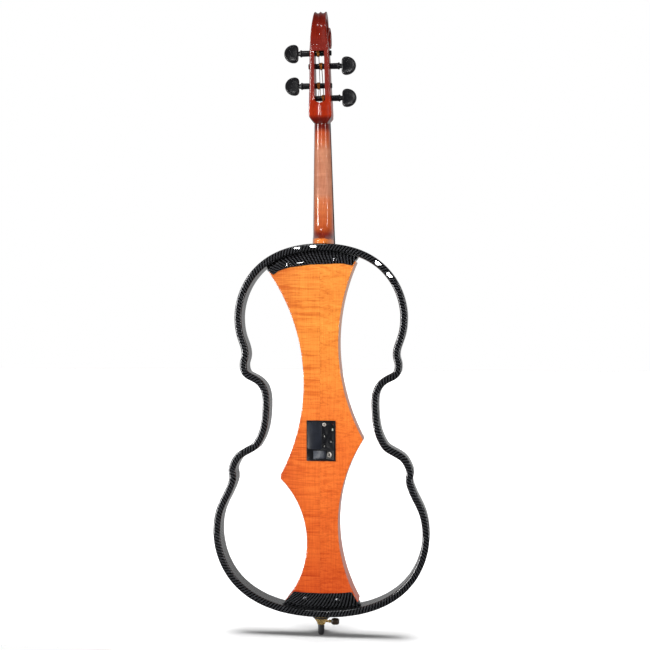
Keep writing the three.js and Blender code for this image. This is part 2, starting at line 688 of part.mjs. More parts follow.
// The tail cord: out of the tailpiece, over the saddle, round the back of the endpin's collar and up again.
function makeTailCord() {
  const { radius, half, out } = TAIL_CORD;
  const front = -RAIL_BACK - SADDLE.out - GAP - radius;
  const around = COLLAR.radius + 3 * GAP + radius;
  const level = -4;
  const descent = (side) => [
    onTailpiece(side * half, out, 10),
    onTailpiece(side * half, out, -2),
    v3(side * 7, front, SADDLE.top - 3),
    v3(side * 8, front, SADDLE.bottom + 2),
    v3(side * 9.5, front + 6, -3),
    v3(side * 13, -12, level),
  ];
  const loop = Array.from({ length: 9 }, (_, i) => {
    const angle = THREE.MathUtils.degToRad(200 - 27.5 * i);
    return v3(around * Math.cos(angle), around * Math.sin(angle), level);
  });
  const route = [...descent(-1), ...loop, ...descent(1).reverse()];
  place("tail_cord", strand(route, radius), RUBBER);
}

// ---------------------------------------------------------------- preamp and pickup

const FACE = BOX.back + GAP + PREAMP.flange; // the control face
const KNOBS = { volume_knob: [-9.4, 368], bass_knob: [-9.4, 348], treble_knob: [-22.4, 356.8] };
const KNOB_RADIUS = 3.5;
const PHONES = { x: -9.2, z: 389.5, ring: 3.8, barrel: 2.9, bore: 1.6 };
const LED = { x: -25.8, z: 391, radius: 1.3 };
const SWITCH = { x: -25.8, half: 1.3, slotBottom: 376.6, slotTop: 386.6, length: 4.6 };
const DOOR = { left: 25.3, right: -3.4, bottom: 339.6, top: 393.8 };
const BOARD_BACK = 7.6;
// The jack's recess is a valley: a ramp from the left down to its bed, and a steep wall on the right with the jack.
const VALLEY = { left: [13.5, FACE], bed: [-11, 7.5], right: [-28, FACE], bottom: 319, top: 336.8 };
const LEAD = { radius: 1.1, x: -16, z: 366 };

function makePreampCase() {
  const { left, right, bottom, top, border } = PREAMP;
  const front = FACE - PREAMP.depth;
  const shell = join(
    block(right, left, FACE - PREAMP.flange, FACE, bottom, top),
    block(right + border, left - border, front - 2, FACE - 1, bottom + border, top - border),
  );
  const outward = FACE + 10;
  const batteryBay = block(-3, 23.3, front, outward, 341.2, 392.8);
  const doorSeat = block(
    DOOR.right - GAP, DOOR.left + GAP, FACE - 1.8, outward, DOOR.bottom - GAP, DOOR.top + GAP,
  );
  const boardBay = block(-27.6, -6, front, FACE - 3.4, 341, 393.5);
  const ports = [
    ...Object.values(KNOBS).map(([x, z]) => bar(v3(x, 10, z), v3(x, outward, z), KNOB_RADIUS + 0.4)),
    bar(v3(PHONES.x, 10, PHONES.z), v3(PHONES.x, outward, PHONES.z), PHONES.barrel + 0.4),
    bar(v3(LED.x, 10, LED.z), v3(LED.x, outward, LED.z), LED.radius + 0.4, 12),
    block(SWITCH.x - SWITCH.half - 0.4, SWITCH.x + SWITCH.half + 0.4, 10, outward, SWITCH.slotBottom, SWITCH.slotTop),
    bar(v3(LEAD.x, front - 10, LEAD.z), v3(LEAD.x, front + 5, LEAD.z), LEAD.radius + 0.7, 12),
  ];
  const valley = slabXY(polygon([VALLEY.left, VALLEY.bed, VALLEY.right].map(([x, y]) => [x, y + 0.01])),
    VALLEY.bottom, VALLEY.top);
  const { seat, out } = jackSeat();
  const jackHole = bar(seat.clone().addScaledVector(out, 4), seat.clone().addScaledVector(out, -9), 4.6, 16);
  place("preamp_case", cut(shell, batteryBay, doorSeat, boardBay, valley, jackHole, ...ports), BLACK_PLASTIC);
}

// The middle of the recess's steep wall and the way that it faces.
function jackSeat() {
  const bed = v3(...VALLEY.bed, 0);
  const rim = v3(...VALLEY.right, 0);
  const along = rim.clone().sub(bed).normalize();
  const seat = bed.clone().add(rim).multiplyScalar(0.5).setZ((VALLEY.bottom + VALLEY.top) / 2);
  return { seat, out: v3(along.y, -along.x, 0) };
}

function makeOutputJack() {
  const { seat, out } = jackSeat();
  const profile = [
    [0, -8], [4.2, -8], [4.2, GAP], [6, GAP], [6, 1.6], [4.6, 2.6], [3.2, 2.6], [3.2, -6.5], [0, -6.5],
  ];
  place("output_jack", turned(profile, out, seat, 18), STEEL);
}

function makeBatteryDoor() {
  const { left, right, bottom, top } = DOOR;
  place("battery_door", block(right, left, FACE - 1.5, FACE, bottom, top), BLACK_PLASTIC);
}

function makeBattery() {
  const cells = block(-2.4, 22.8, -5, 12, 341.8, 388);
  const snaps = [4, 16.5].map((x) => bar(v3(x, 3.5, 387), v3(x, 3.5, 391), 3, 10));
  place("battery", join(cells, ...snaps), STEEL);
}

function makeElectronics() {
  place("circuit_board", block(-27.2, -6.4, BOARD_BACK - 1.6, BOARD_BACK, 342, 393), BOARD_GREEN);
  for (const [name, [x, z]] of Object.entries(KNOBS)) {
    const profile = [
      [0, BOARD_BACK + GAP], [1.4, BOARD_BACK + GAP], [1.4, 20], [KNOB_RADIUS, 20], [KNOB_RADIUS, FACE + 0.6],
      [KNOB_RADIUS - 0.5, FACE + 1], [0, FACE + 1],
    ];
    place(name, turned(profile, v3(0, 1, 0), v3(x, 0, z), 16), BLACK_PLASTIC);
  }
  const jack = [
    [0, BOARD_BACK + GAP], [PHONES.barrel, BOARD_BACK + GAP], [PHONES.barrel, FACE + GAP], [PHONES.ring, FACE + GAP],
    [PHONES.ring, FACE + 1.3], [PHONES.bore + 0.5, FACE + 1.6], [PHONES.bore, FACE + 1.6], [PHONES.bore, 12], [0, 12],
  ];
  place("headphone_jack", turned(jack, v3(0, 1, 0), v3(PHONES.x, 0, PHONES.z), 16), STEEL);
  const lamp = [
    [0, BOARD_BACK + GAP], [LED.radius, BOARD_BACK + GAP], [LED.radius, FACE + 0.3], [LED.radius * 0.6, FACE + 0.9],
    [0, FACE + 1.1],
  ];
  place("power_led", turned(lamp, v3(0, 1, 0), v3(LED.x, 0, LED.z), 10), LENS_RED);
  const { x, half, slotBottom, length } = SWITCH;
  const slider = block(x - half, x + half, FACE - 3, FACE + 1.2, slotBottom + 0.5, slotBottom + 0.5 + length);
  place("power_switch", slider, BLACK_PLASTIC);
}

function makePickup() {
  const under = BOX.archTop + BOX.plate + 0.6;
  place("pickup", block(-11, 11, under, under + 1.4, BRIDGE.height - 4, BRIDGE.height + 4), STEEL);
  const { radius, x, z } = LEAD;
  const route = [
    v3(-12.6, under + 1.2, 344), v3(-14, under + 1.6, 345), v3(-15.6, under + 3.5, 350), v3(x, -18, 358),
    v3(x, -12, 364), v3(x, -8, z), v3(x, -2, z), v3(x, BOARD_BACK - 1.6 - GAP, z),
  ];
  place("pickup_lead", strand(route, radius), RUBBER);
}

// ---------------------------------------------------------------- endpin

const THUMBSCREW = { height: -12.5, tip: 6, stem: 2.2, knobFrom: 21, knobTo: 37, knob: 7 };

function makeEndpin() {
  const { radius, plug, bottom, plugTop } = COLLAR;
  const bore = ROD.radius + 0.4;
  const collar = turned([
    [bore, bottom], [7.4, bottom], [9, bottom + 3], [radius, -9], [radius, -GAP], [plug - 0.4, -GAP],
    [plug - 0.8, plugTop], [bore, plugTop], [bore, bottom],
  ], v3(0, 0, 1), v3(0, 0, 0), 24);
  const { height, tip, stem, knobFrom, knobTo, knob } = THUMBSCREW;
  const tapped = bar(v3(-4, 0, height), v3(-30, 0, height), stem + 0.4, 12);
  place("endpin_collar", cut(collar, tapped), BRASS);
  place("endpin_rod", bar(v3(0, 0, ROD.bottom), v3(0, 0, ROD.top), ROD.radius, 16), BLACK_METAL);
  const rubberTip = turned([
    [0, -ENDPIN_STAND], [3, -ENDPIN_STAND], [5.6, -ENDPIN_STAND + 2], [6.5, -ENDPIN_STAND + 5], [6.5, bottom - 3],
    [6, bottom - 1], [ROD.radius + GAP, bottom - 1], [ROD.radius + GAP, ROD.bottom - GAP], [0, ROD.bottom - GAP],
  ], v3(0, 0, 1), v3(0, 0, 0), 18);
  place("endpin_tip", rubberTip, RUBBER);
  const thumbscrew = turned([
    [0, tip], [stem, tip], [stem, knobFrom - 2], [3.4, knobFrom - 2], [3.4, knobFrom], [knob - 1, knobFrom],
    [knob, knobFrom + 2], [knob, knobTo - 4], [knob - 2, knobTo], [0, knobTo],
  ], v3(-1, 0, 0), v3(0, 0, height), 14);
  place("endpin_thumbscrew", thumbscrew, BRASS);
}

// ---------------------------------------------------------------- the whole cello

makeHoop();
makeSoundBox();
makeBracket("top_bracket", { outer: 6.5, inner: 28 }, 600, 760);
makeBracket("bottom_bracket", { outer: 8.5, inner: 35 }, 0, 150);
makeBracketScrews();
makeNeck();
makeFingerboard();
makeNut();
for (const [name, string] of Object.entries(STRINGS)) {
  makePeg(name, string);
  makeWinding(name, string);
  makeString(name, string);
  makeTunerLever(name, string);
  makeTunerScrew(name, string);
}
makeBridge();
makeTailpiece();
makeSaddle();
makeTailCord();
makePreampCase();
makeOutputJack();
makeBatteryDoor();
makeBattery();
makeElectronics();
makePickup();
makeEndpin();

const cello = new THREE.Group();
bodyGroup.position.z = ENDPIN_STAND;
cello.add(bodyGroup);

export default cello;
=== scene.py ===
"""The looks of a skeleton electric cello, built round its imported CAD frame.

Outlines are in millimetres in the body's own frame: X across (the bass side is -X), Y from the
strings (-Y) to the back (+Y), and heights measured up from the hoop's lower edge. spot() turns them
into metres in the row frame.
"""

import json
import math

import bmesh
import bpy
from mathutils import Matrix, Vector


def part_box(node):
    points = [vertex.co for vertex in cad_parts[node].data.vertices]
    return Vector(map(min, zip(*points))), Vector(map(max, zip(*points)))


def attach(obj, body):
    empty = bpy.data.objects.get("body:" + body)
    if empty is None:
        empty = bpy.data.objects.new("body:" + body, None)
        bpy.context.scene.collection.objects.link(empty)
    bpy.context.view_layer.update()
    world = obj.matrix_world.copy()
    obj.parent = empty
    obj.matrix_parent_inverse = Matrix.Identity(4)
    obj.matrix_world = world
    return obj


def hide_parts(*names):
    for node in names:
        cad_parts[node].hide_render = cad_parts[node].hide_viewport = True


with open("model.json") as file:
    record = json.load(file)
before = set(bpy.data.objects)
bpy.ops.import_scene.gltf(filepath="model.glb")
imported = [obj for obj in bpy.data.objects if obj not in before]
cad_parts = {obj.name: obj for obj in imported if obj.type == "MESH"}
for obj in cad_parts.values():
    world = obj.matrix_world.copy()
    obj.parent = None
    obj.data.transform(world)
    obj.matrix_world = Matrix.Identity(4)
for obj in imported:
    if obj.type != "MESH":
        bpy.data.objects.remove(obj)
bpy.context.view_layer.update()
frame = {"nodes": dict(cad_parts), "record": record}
NODES = frame["nodes"]
BODY_OF = {node: body
           for body, members in frame["record"]["behaviour"]["bodies"].items() for node in members}
SLOT_OF = {part["node"]: part["material_slot"] for part in frame["record"]["subparts"]}

MM = 0.001
HOOP_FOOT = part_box("carbon_frame")[0].z  # the hoop's lower edge, which heights start from
BODY_LENGTH = 755.0  # height of the hoop, mm
HEAD_TOP = 1228.0  # height of the scroll's top, mm
STRING_NAMES = "cgda"


def spot(x, y, height):
    """A point of the body's frame in metres, in the row frame."""
    return Vector((x * MM, y * MM, height * MM + HOOP_FOOT))


def lerp(a, b, t):
    """The value a share t of the way from a to b."""
    return a + (b - a) * t


def smooth_step(t):
    """0 to 1 with a soft start and end, as t goes from 0 to 1."""
    t = max(0.0, min(1.0, t))
    return t * t * (3 - 2 * t)


def along_line(rows, at):
    """The second number of rows at a place among their first numbers."""
    for (a, va), (b, vb) in zip(rows, rows[1:]):
        if a <= at <= b:
            return lerp(va, vb, (at - a) / (b - a))
    return rows[0][1] if at < rows[0][0] else rows[-1][1]


def bezier(start, first, second, end, count):
    """Points along a Bezier curve after its start, count of them up to its end."""
    points = []
    for i in range(1, count + 1):
        t = i / count
        points.append(start * (1 - t) ** 3 + first * (3 * t * (1 - t) ** 2) + second * (3 * t * t * (1 - t))
                      + end * t ** 3)
    return points


def catmull_rom(p0, p1, p2, p3, t):
    """The curve through four points or numbers, between the middle two."""
    return 0.5 * (2 * p1 + (p2 - p0) * t + (2 * p0 - 5 * p1 + 4 * p2 - p3) * t * t
                  + (3 * p1 - p0 - 3 * p2 + p3) * t ** 3)


def smooth_line(points, step):
    """A Catmull-Rom curve through vectors, sampled about every step."""
    padded = [points[0] * 2 - points[1], *points, points[-1] * 2 - points[-2]]
    out = []
    for p0, p1, p2, p3 in zip(padded, padded[1:], padded[2:], padded[3:]):
        count = max(1, round((p2 - p1).length / step))
        out += [catmull_rom(p0, p1, p2, p3, i / count) for i in range(count)]
    out.append(points[-1])
    return out


# ---------------------------------------------------------------- shader helpers


class Shade:
    """A new material with a Principled shader, and short calls for the nodes that feed it."""

    def __init__(self, name):
        self.material = bpy.data.materials.new(name)
        self.material.use_nodes = True
        self.nodes = self.material.node_tree.nodes
        self.links = self.material.node_tree.links
        self.shader = self.nodes["Principled BSDF"]

    def link(self, source, target):
        self.links.new(source, target)

    def feed(self, node, **values):
        """Sets each named input of a node to a value, or links it to a socket."""
        for key, value in values.items():
            place = int(key[1:]) if key[1:].isdigit() else key.replace("_", " ")
            socket = node.inputs[place]
            if isinstance(value, bpy.types.NodeSocket):
                self.link(value, socket)
            else:
                socket.default_value = value
        return node

    def set(self, **values):
        self.feed(self.shader, **values)

    def place(self, scale=(1, 1, 1), turn=(0, 0, 0), source="Object"):
        """Coordinates of the object, or its UV map, scaled and turned."""
        coordinates = self.nodes.new("ShaderNodeTexCoord")
        mapping = self.nodes.new("ShaderNodeMapping")
        mapping.inputs["Scale"].default_value = scale
        mapping.inputs["Rotation"].default_value = turn
        self.link(coordinates.outputs[source], mapping.inputs["Vector"])
        return mapping.outputs["Vector"]

    def split(self, vector):
        node = self.nodes.new("ShaderNodeSeparateXYZ")
        self.link(vector, node.inputs[0])
        return node.outputs

    def noise(self, vector, scale, detail=3.0, rough=0.55, distort=0.0):
        node = self.nodes.new("ShaderNodeTexNoise")
        self.feed(node, Vector=vector, Scale=scale, Detail=detail, Roughness=rough, Distortion=distort)
        return node.outputs["Fac"]

    def math(self, operation, *values):
        node = self.nodes.new("ShaderNodeMath")
        node.operation = operation
        self.feed(node, **{"i%d" % i: value for i, value in enumerate(values)})
        return node.outputs[0]

    def ramp(self, factor, stops):
        """stops is a list of (place, value), each value a number or a colour."""
        node = self.nodes.new("ShaderNodeValToRGB")
        elements = node.color_ramp.elements
        while len(elements) < len(stops):
            elements.new(0.5)
        for element, (where, value) in zip(elements, sorted(stops, key=lambda stop: stop[0])):
            element.position = where
            element.color = (*value, 1) if isinstance(value, tuple) else (value, value, value, 1)
        self.link(factor, node.inputs["Fac"])
        return node.outputs["Color"]

    def spread(self, value, low, high, to_low=0.0, to_high=1.0):
        node = self.nodes.new("ShaderNodeMapRange")
        self.feed(node, i0=value, i1=low, i2=high, i3=to_low, i4=to_high)
        return node.outputs[0]

    def mix(self, factor, first, second, blend="MIX"):
        node = self.nodes.new("ShaderNodeMix")
        node.data_type = "RGBA"
        node.blend_type = blend
        self.feed(node, i0=factor, i6=first, i7=second)
        return node.outputs[2]

    def tinted(self, strength, base, by, stops):
        """The base colour multiplied, as far as strength, by a ramp that another socket picks from."""
        return self.mix(strength, base, self.ramp(by, stops), "MULTIPLY")

    def bump(self, height, distance, strength=1.0):
        node = self.nodes.new("ShaderNodeBump")
        self.feed(node, Height=height, Distance=distance, Strength=strength)
        return node.outputs["Normal"]


def rgb(red, green, blue):
    """An sRGB colour of 0 to 255 as the linear colour that shaders take."""
    return tuple((c / 255 / 12.92) if c < 10 else ((c / 255 + 0.055) / 1.055) ** 2.4
                 for c in (red, green, blue))


# ---------------------------------------------------------------- materials

TOW = 2.0  # width of one carbon tow, mm
TWILL_TURN = -16.0  # degrees between the cloth and the length of a piece

# The varnish's colour from the foot of the sound box to its top.
# It darkens towards the foot: partly a slight sunburst in the varnish, partly painted shade of light that
# falls off downwards.
MAPLE_VARNISH_AND_SHADE = [
    (0.05, rgb(216, 84, 26)),
    (0.2, rgb(234, 108, 38)),
    (0.36, rgb(243, 118, 44)),
    (0.5, rgb(248, 128, 48)),
    (0.72, rgb(253, 152, 58)),
    (0.95, rgb(254, 156, 62)),
]


def carbon_twill():
    """2 by 2 twill under a clear coat, on the pieces' UV maps, which are in metres."""
    shade = Shade("carbon_twill")
    turn = (0, 0, math.radians(TWILL_TURN))
    cloth = shade.place(scale=(1 / (TOW * MM),) * 3, turn=turn, source="UV")
    u, v, _ = shade.split(cloth)
    over_u = shade.math("FLOOR", u)
    over_v = shade.math("FLOOR", v)
    step = shade.math("FLOORED_MODULO", shade.math("SUBTRACT", over_u, over_v), 4.0)
    warp_on_top = shade.math("LESS_THAN", step, 1.5)
    across_u = shade.math("SINE", shade.math("MULTIPLY", shade.math("FRACT", u), math.pi))
    across_v = shade.math("SINE", shade.math("MULTIPLY", shade.math("FRACT", v), math.pi))
    crown = shade.mix(warp_on_top, across_u, across_v)
    fibres_u = shade.noise(shade.place(scale=(9000, 500, 1), turn=turn, source="UV"), 1.0, 2.0)
    fibres_v = shade.noise(shade.place(scale=(500, 9000, 1), turn=turn, source="UV"), 1.0, 2.0)
    fibres = shade.mix(warp_on_top, fibres_u, fibres_v)
    # The tows on top are a lit copy and those beneath a shaded copy of one black fibre: a painted sheen.
    tows_sheen_and_shade = shade.mix(warp_on_top, (0.0008, 0.0008, 0.0010, 1), (0.135, 0.138, 0.152, 1))
    tows_sheen_and_shade = shade.tinted(0.35, tows_sheen_and_shade, fibres, [(0.3, 0.25), (0.7, 1.0)])
    # Painted shade darkens each tow towards its edges, in the gaps between the tows.
    tows_sheen_and_shade = shade.tinted(1.0, tows_sheen_and_shade, crown, [(0.55, 0.01), (1.0, 1.0)])
    shade.set(
        Base_Color=tows_sheen_and_shade,
        Metallic=0.55,
        Specular_IOR_Level=0.1,
        Roughness=shade.ramp(warp_on_top, [(0.0, 0.3), (1.0, 0.45)]),
        Normal=shade.bump(crown, 0.00025, 0.6),
        Coat_Weight=1.0,
        Coat_Roughness=0.008,
        Coat_IOR=1.55,
    )
    return shade.material


def flamed_maple():
    """Two matched halves of flamed maple under amber varnish: wavy stripes, fine grain and a joint."""
    shade = Shade("flamed_maple")
    here = shade.place()
    x, _, z = shade.split(here)
    left_half = shade.math("GREATER_THAN", x, 0.0)
    broad = shade.mix(
        left_half,
        shade.noise(shade.place(scale=(26, 26, 95), turn=(0, math.radians(-7), 0)), 1.0, 3.0, 0.6, 1.2),
        shade.noise(shade.place(scale=(7, 7, 130), turn=(0, math.radians(3), 0)), 1.0, 3.0, 0.6, 0.6),
    )
    fine = shade.mix(
        left_half,
        shade.noise(shade.place(scale=(70, 70, 260), turn=(0, math.radians(-9), 0)), 1.0, 3.0, 0.65,
                    1.0),
        shade.noise(shade.place(scale=(24, 24, 300), turn=(0, math.radians(4), 0)), 1.0, 3.0, 0.6, 0.8),
    )
    drift = shade.noise(here, 11.0, 3.0)
    grain = shade.noise(shade.place(scale=(700, 700, 16)), 1.0, 3.0)
    pores = shade.noise(shade.place(scale=(1500, 1500, 90)), 1.0, 2.0)
    top = shade.spread(z, HOOP_FOOT, HOOP_FOOT + BODY_LENGTH * MM)
    # The varnish by height, with painted shade darkening it towards the foot.
    base = shade.ramp(top, MAPLE_VARNISH_AND_SHADE)
    # The stripes are strongest towards the bass bouts' tip, on the +X side.
    strong = shade.spread(x, -0.03, 0.09, 0.55, 1.0)
    for stripes, dark, light in (
        (broad, (0.80, 0.62, 0.50), (1.05, 1.16, 1.22)),
        (fine, (0.80, 0.58, 0.42), (1.04, 1.10, 1.14)),
    ):
        tint = shade.ramp(stripes, [(0.36, dark), (0.5, 1.0), (0.64, light)])
        base = shade.mix(strong, base, shade.mix(1.0, base, tint, "MULTIPLY"))
    base = shade.tinted(1.0, base, drift, [(0.3, (0.93, 0.84, 0.8)), (0.7, (1.04, 1.1, 1.1))])
    base = shade.tinted(0.75, base, grain, [(0.35, (0.86, 0.74, 0.64)), (0.6, 1.0)])
    base = shade.tinted(0.6, base, pores, [(0.3, (0.75, 0.6, 0.5)), (0.42, 1.0)])
    reddened = shade.spread(x, 0.03, 0.095)
    base = shade.mix(reddened, base, shade.mix(1.0, base, (0.80, 0.62, 0.66, 1), "MULTIPLY"))
    joint = shade.math("LESS_THAN", shade.math("ABSOLUTE", x), 0.00022)
    base = shade.mix(shade.math("MULTIPLY", joint, 0.5), base, (0.25, 0.05, 0.012, 1))
    shade.set(
        Base_Color=base,
        Roughness=shade.ramp(broad, [(0.3, 0.36), (0.7, 0.5)]),
        Specular_IOR_Level=0.2,
        Normal=shade.bump(grain, 0.00004, 0.5),
        Coat_Weight=0.85,
        Coat_Roughness=0.06,
    )
    return shade.material


def spruce():
    """Straight-grained spruce under amber varnish: close dark year lines up the plate."""
    shade = Shade("top_wood")
    x = shade.split(shade.place())[0]
    wander = shade.noise(shade.place(scale=(3, 3, 3)), 1.0, 2.0)
    years = shade.math("ADD", shade.math("MULTIPLY", x, 2 * math.pi / 0.0016),
                       shade.math("MULTIPLY", wander, 9.0))
    lines = shade.spread(shade.math("SINE", years), -1.0, 1.0)
    grain = shade.noise(shade.place(scale=(1200, 1200, 16)), 1.0, 3.0)
    base = shade.ramp(lines, [(0.0, rgb(214, 112, 40)), (0.75, rgb(204, 98, 34)),
                              (1.0, rgb(158, 62, 20))])
    base = shade.tinted(0.6, base, grain, [(0.3, (0.8, 0.7, 0.6)), (0.65, 1.0)])
    shade.set(
        Base_Color=base,
        Roughness=0.42,
        Normal=shade.bump(lines, 0.00003, 0.4),
        Coat_Weight=0.8,
        Coat_Roughness=0.08,
    )
    return shade.material


def neck_wood():
    """Maple under red-brown varnish, rubbed bare and satin along the middle of the handle."""
    shade = Shade("neck_wood")
    here = shade.place()
    _, _, z = shade.split(here)
    height = shade.spread(z, HOOP_FOOT + BODY_LENGTH * MM, HOOP_FOOT + HEAD_TOP * MM)
    ragged = shade.math("ADD", height, shade.math("MULTIPLY", shade.noise(here, 60.0, 4.0), 0.012))
    flames = shade.noise(shade.place(scale=(25, 25, 220)), 1.0, 3.0, 0.55, 0.4)
    streaks = shade.noise(shade.place(scale=(420, 420, 9)), 1.0, 4.0, 0.6)
    blotches = shade.noise(here, 45.0, 3.0)
    varnish = shade.ramp(ragged, [
        (0.0, rgb(255, 150, 66)),
        (0.024, rgb(252, 140, 60)),
        # Painted shade: the heel's curve above its button, dark red.
        (0.03, rgb(120, 30, 20)),
        (0.05, rgb(132, 36, 20)),
        (0.075, rgb(196, 92, 44)),
        (0.15, rgb(214, 118, 70)),
        (0.195, rgb(212, 120, 76)),
        (0.225, rgb(206, 142, 112)),
        (0.41, rgb(204, 138, 106)),
        (0.44, rgb(200, 108, 66)),
        (0.485, rgb(196, 84, 42)),
        # Painted shade: dark red under the chin.
        (0.505, rgb(116, 28, 18)),
        (0.54, rgb(104, 24, 16)),
        (0.555, rgb(176, 48, 10)),
        (0.61, rgb(166, 42, 10)),
        (0.65, rgb(140, 48, 40)),
        (0.83, rgb(132, 42, 34)),
        (0.89, rgb(128, 28, 8)),
        (1.0, rgb(104, 18, 4)),
    ])
    varnish = shade.tinted(0.4, varnish, flames, [(0.35, (0.8, 0.68, 0.6)), (0.65, (1.1, 1.15, 1.15))])
    varnish = shade.tinted(0.7, varnish, streaks, [(0.3, (0.72, 0.62, 0.56)), (0.6, 1.0)])
    varnish = shade.tinted(0.7, varnish, blotches, [(0.3, (0.82, 0.66, 0.6)), (0.7, (1.1, 1.1, 1.1))])
    bare = shade.ramp(ragged, [(0.195, 1.0), (0.225, 0.15), (0.41, 0.15), (0.44, 1.0), (0.54, 1.0),
                               (0.56, 0.6)])
    shade.set(
        Base_Color=varnish,
        Specular_IOR_Level=0.1,
        Roughness=shade.ramp(bare, [(0.0, 0.5), (1.0, 0.3)]),
        Normal=shade.bump(streaks, 0.00006, 0.35),
        Coat_Weight=bare,
        Coat_Roughness=0.05,
    )
    return shade.material


def plain_wood(name, light, dark, roughness):
    """Unvarnished wood with long grain and short dark flecks."""
    shade = Shade(name)
    grain = shade.noise(shade.place(scale=(300, 300, 20)), 1.0, 4.0, 0.6, 0.3)
    flecks = shade.noise(shade.place(scale=(500, 90, 1600)), 1.0, 2.0)
    base = shade.ramp(grain, [(0.3, dark), (0.65, light)])
    base = shade.tinted(0.6, base, flecks, [(0.3, (0.55, 0.42, 0.32)), (0.42, 1.0)])
    shade.set(Base_Color=base, Roughness=roughness, Normal=shade.bump(grain, 0.00008, 0.4))
    return shade.material


def ebony():
    """Polished ebony: near black, with fine open pores and faint brown streaks."""
    shade = Shade("ebony")
    here = shade.place()
    streaks = shade.noise(shade.place(scale=(220, 220, 14)), 1.0, 3.0)
    pores = shade.noise(shade.place(scale=(2600, 2600, 320)), 1.0, 2.0)
    wear = shade.noise(here, 90.0, 3.0)
    base = shade.ramp(streaks, [(0.3, (0.004, 0.004, 0.0058)), (0.75, (0.009, 0.0085, 0.0105))])
    base = shade.tinted(0.7, base, pores, [(0.3, 0.3), (0.45, 1.0)])
    shade.set(
        Base_Color=base,
        Roughness=shade.ramp(wear, [(0.3, 0.30), (0.7, 0.40)]),
        Normal=shade.bump(pores, 0.00003, 0.4),
    )
    return shade.material


def metal(name, colour, roughness, metallic=1.0):
    """Worn metal: fine rubbed lines and patches of duller finish."""
    shade = Shade(name)
    rubbed = shade.noise(shade.place(scale=(900, 900, 108)), 1.0, 3.0)
    patches = shade.noise(shade.place(), 160.0, 4.0)
    tint = shade.ramp(patches, [(0.3, tuple(c * 0.78 for c in colour)), (0.7, colour)])
    finish = shade.mix(0.5, shade.ramp(rubbed, [(0.3, roughness * 0.7), (0.7, roughness * 1.35)]),
                       shade.ramp(patches, [(0.3, roughness * 1.3), (0.7, roughness * 0.8)]))
    shade.set(Base_Color=tint, Metallic=metallic, Roughness=finish,
              Normal=shade.bump(rubbed, 0.00002, 0.5))
    return shade.material


def moulded(name, colour, roughness, grain=1.0, coat=0.0):
    """Moulded plastic or rubber: a fine spark-eroded grain, and slight unevenness in the colour."""
    shade = Shade(name)
    texture = shade.noise(shade.place(), 2600.0, 3.0)
    cloud = shade.noise(shade.place(), 70.0, 3.0)
    tint = shade.ramp(cloud, [(0.3, tuple(c * 0.72 for c in colour)),
                              (0.7, tuple(c * 1.2 for c in colour))])
    finish = shade.ramp(texture, [(0.3, roughness * 0.8), (0.7, min(1.0, roughness * 1.25))])
    shade.set(Base_Color=tint, Roughness=finish, Normal=shade.bump(texture, 0.00003 * grain, 0.5),
              Coat_Weight=coat, Coat_Roughness=0.12)
    return shade.material


def wound_string():
    """Flat-wound steel: fine turns along the string, on its UV map in metres."""
    shade = Shade("string_steel")
    u = shade.split(shade.place(source="UV"))[0]
    turns = shade.math("SINE", shade.math("MULTIPLY", u, 2 * math.pi / 0.00045))
    dull = shade.noise(shade.place(scale=(60, 2000, 1), source="UV"), 1.0, 2.0)
    shade.set(
        Base_Color=shade.ramp(dull, [(0.3, rgb(120, 122, 126)), (0.7, rgb(176, 178, 182))]),
        Metallic=0.9,
        Roughness=0.32,
        Normal=shade.bump(turns, 0.00006, 0.5),
    )
    return shade.material


def wrapped_thread():
    """The silk-wrapped, copper-coloured end of a string, on its UV map in metres."""
    shade = Shade("copper_winding")
    u, v, _ = shade.split(shade.place(source="UV"))
    lay = shade.math("SINE", shade.math("MULTIPLY", shade.math("ADD", u, shade.math("MULTIPLY", v, 0.4)),
                                        2 * math.pi / 0.0005))
    patches = shade.noise(shade.place(), 500.0, 3.0)
    base = shade.ramp(patches, [(0.3, rgb(150, 84, 26)), (0.7, rgb(222, 142, 58))])
    # Painted shade darkens the grooves between the thread's turns.
    base = shade.tinted(0.6, base, lay, [(0.0, 0.45), (0.6, 1.0)])
    shade.set(Base_Color=base, Metallic=0.3, Roughness=0.42, Normal=shade.bump(lay, 0.00008, 0.6))
    return shade.material


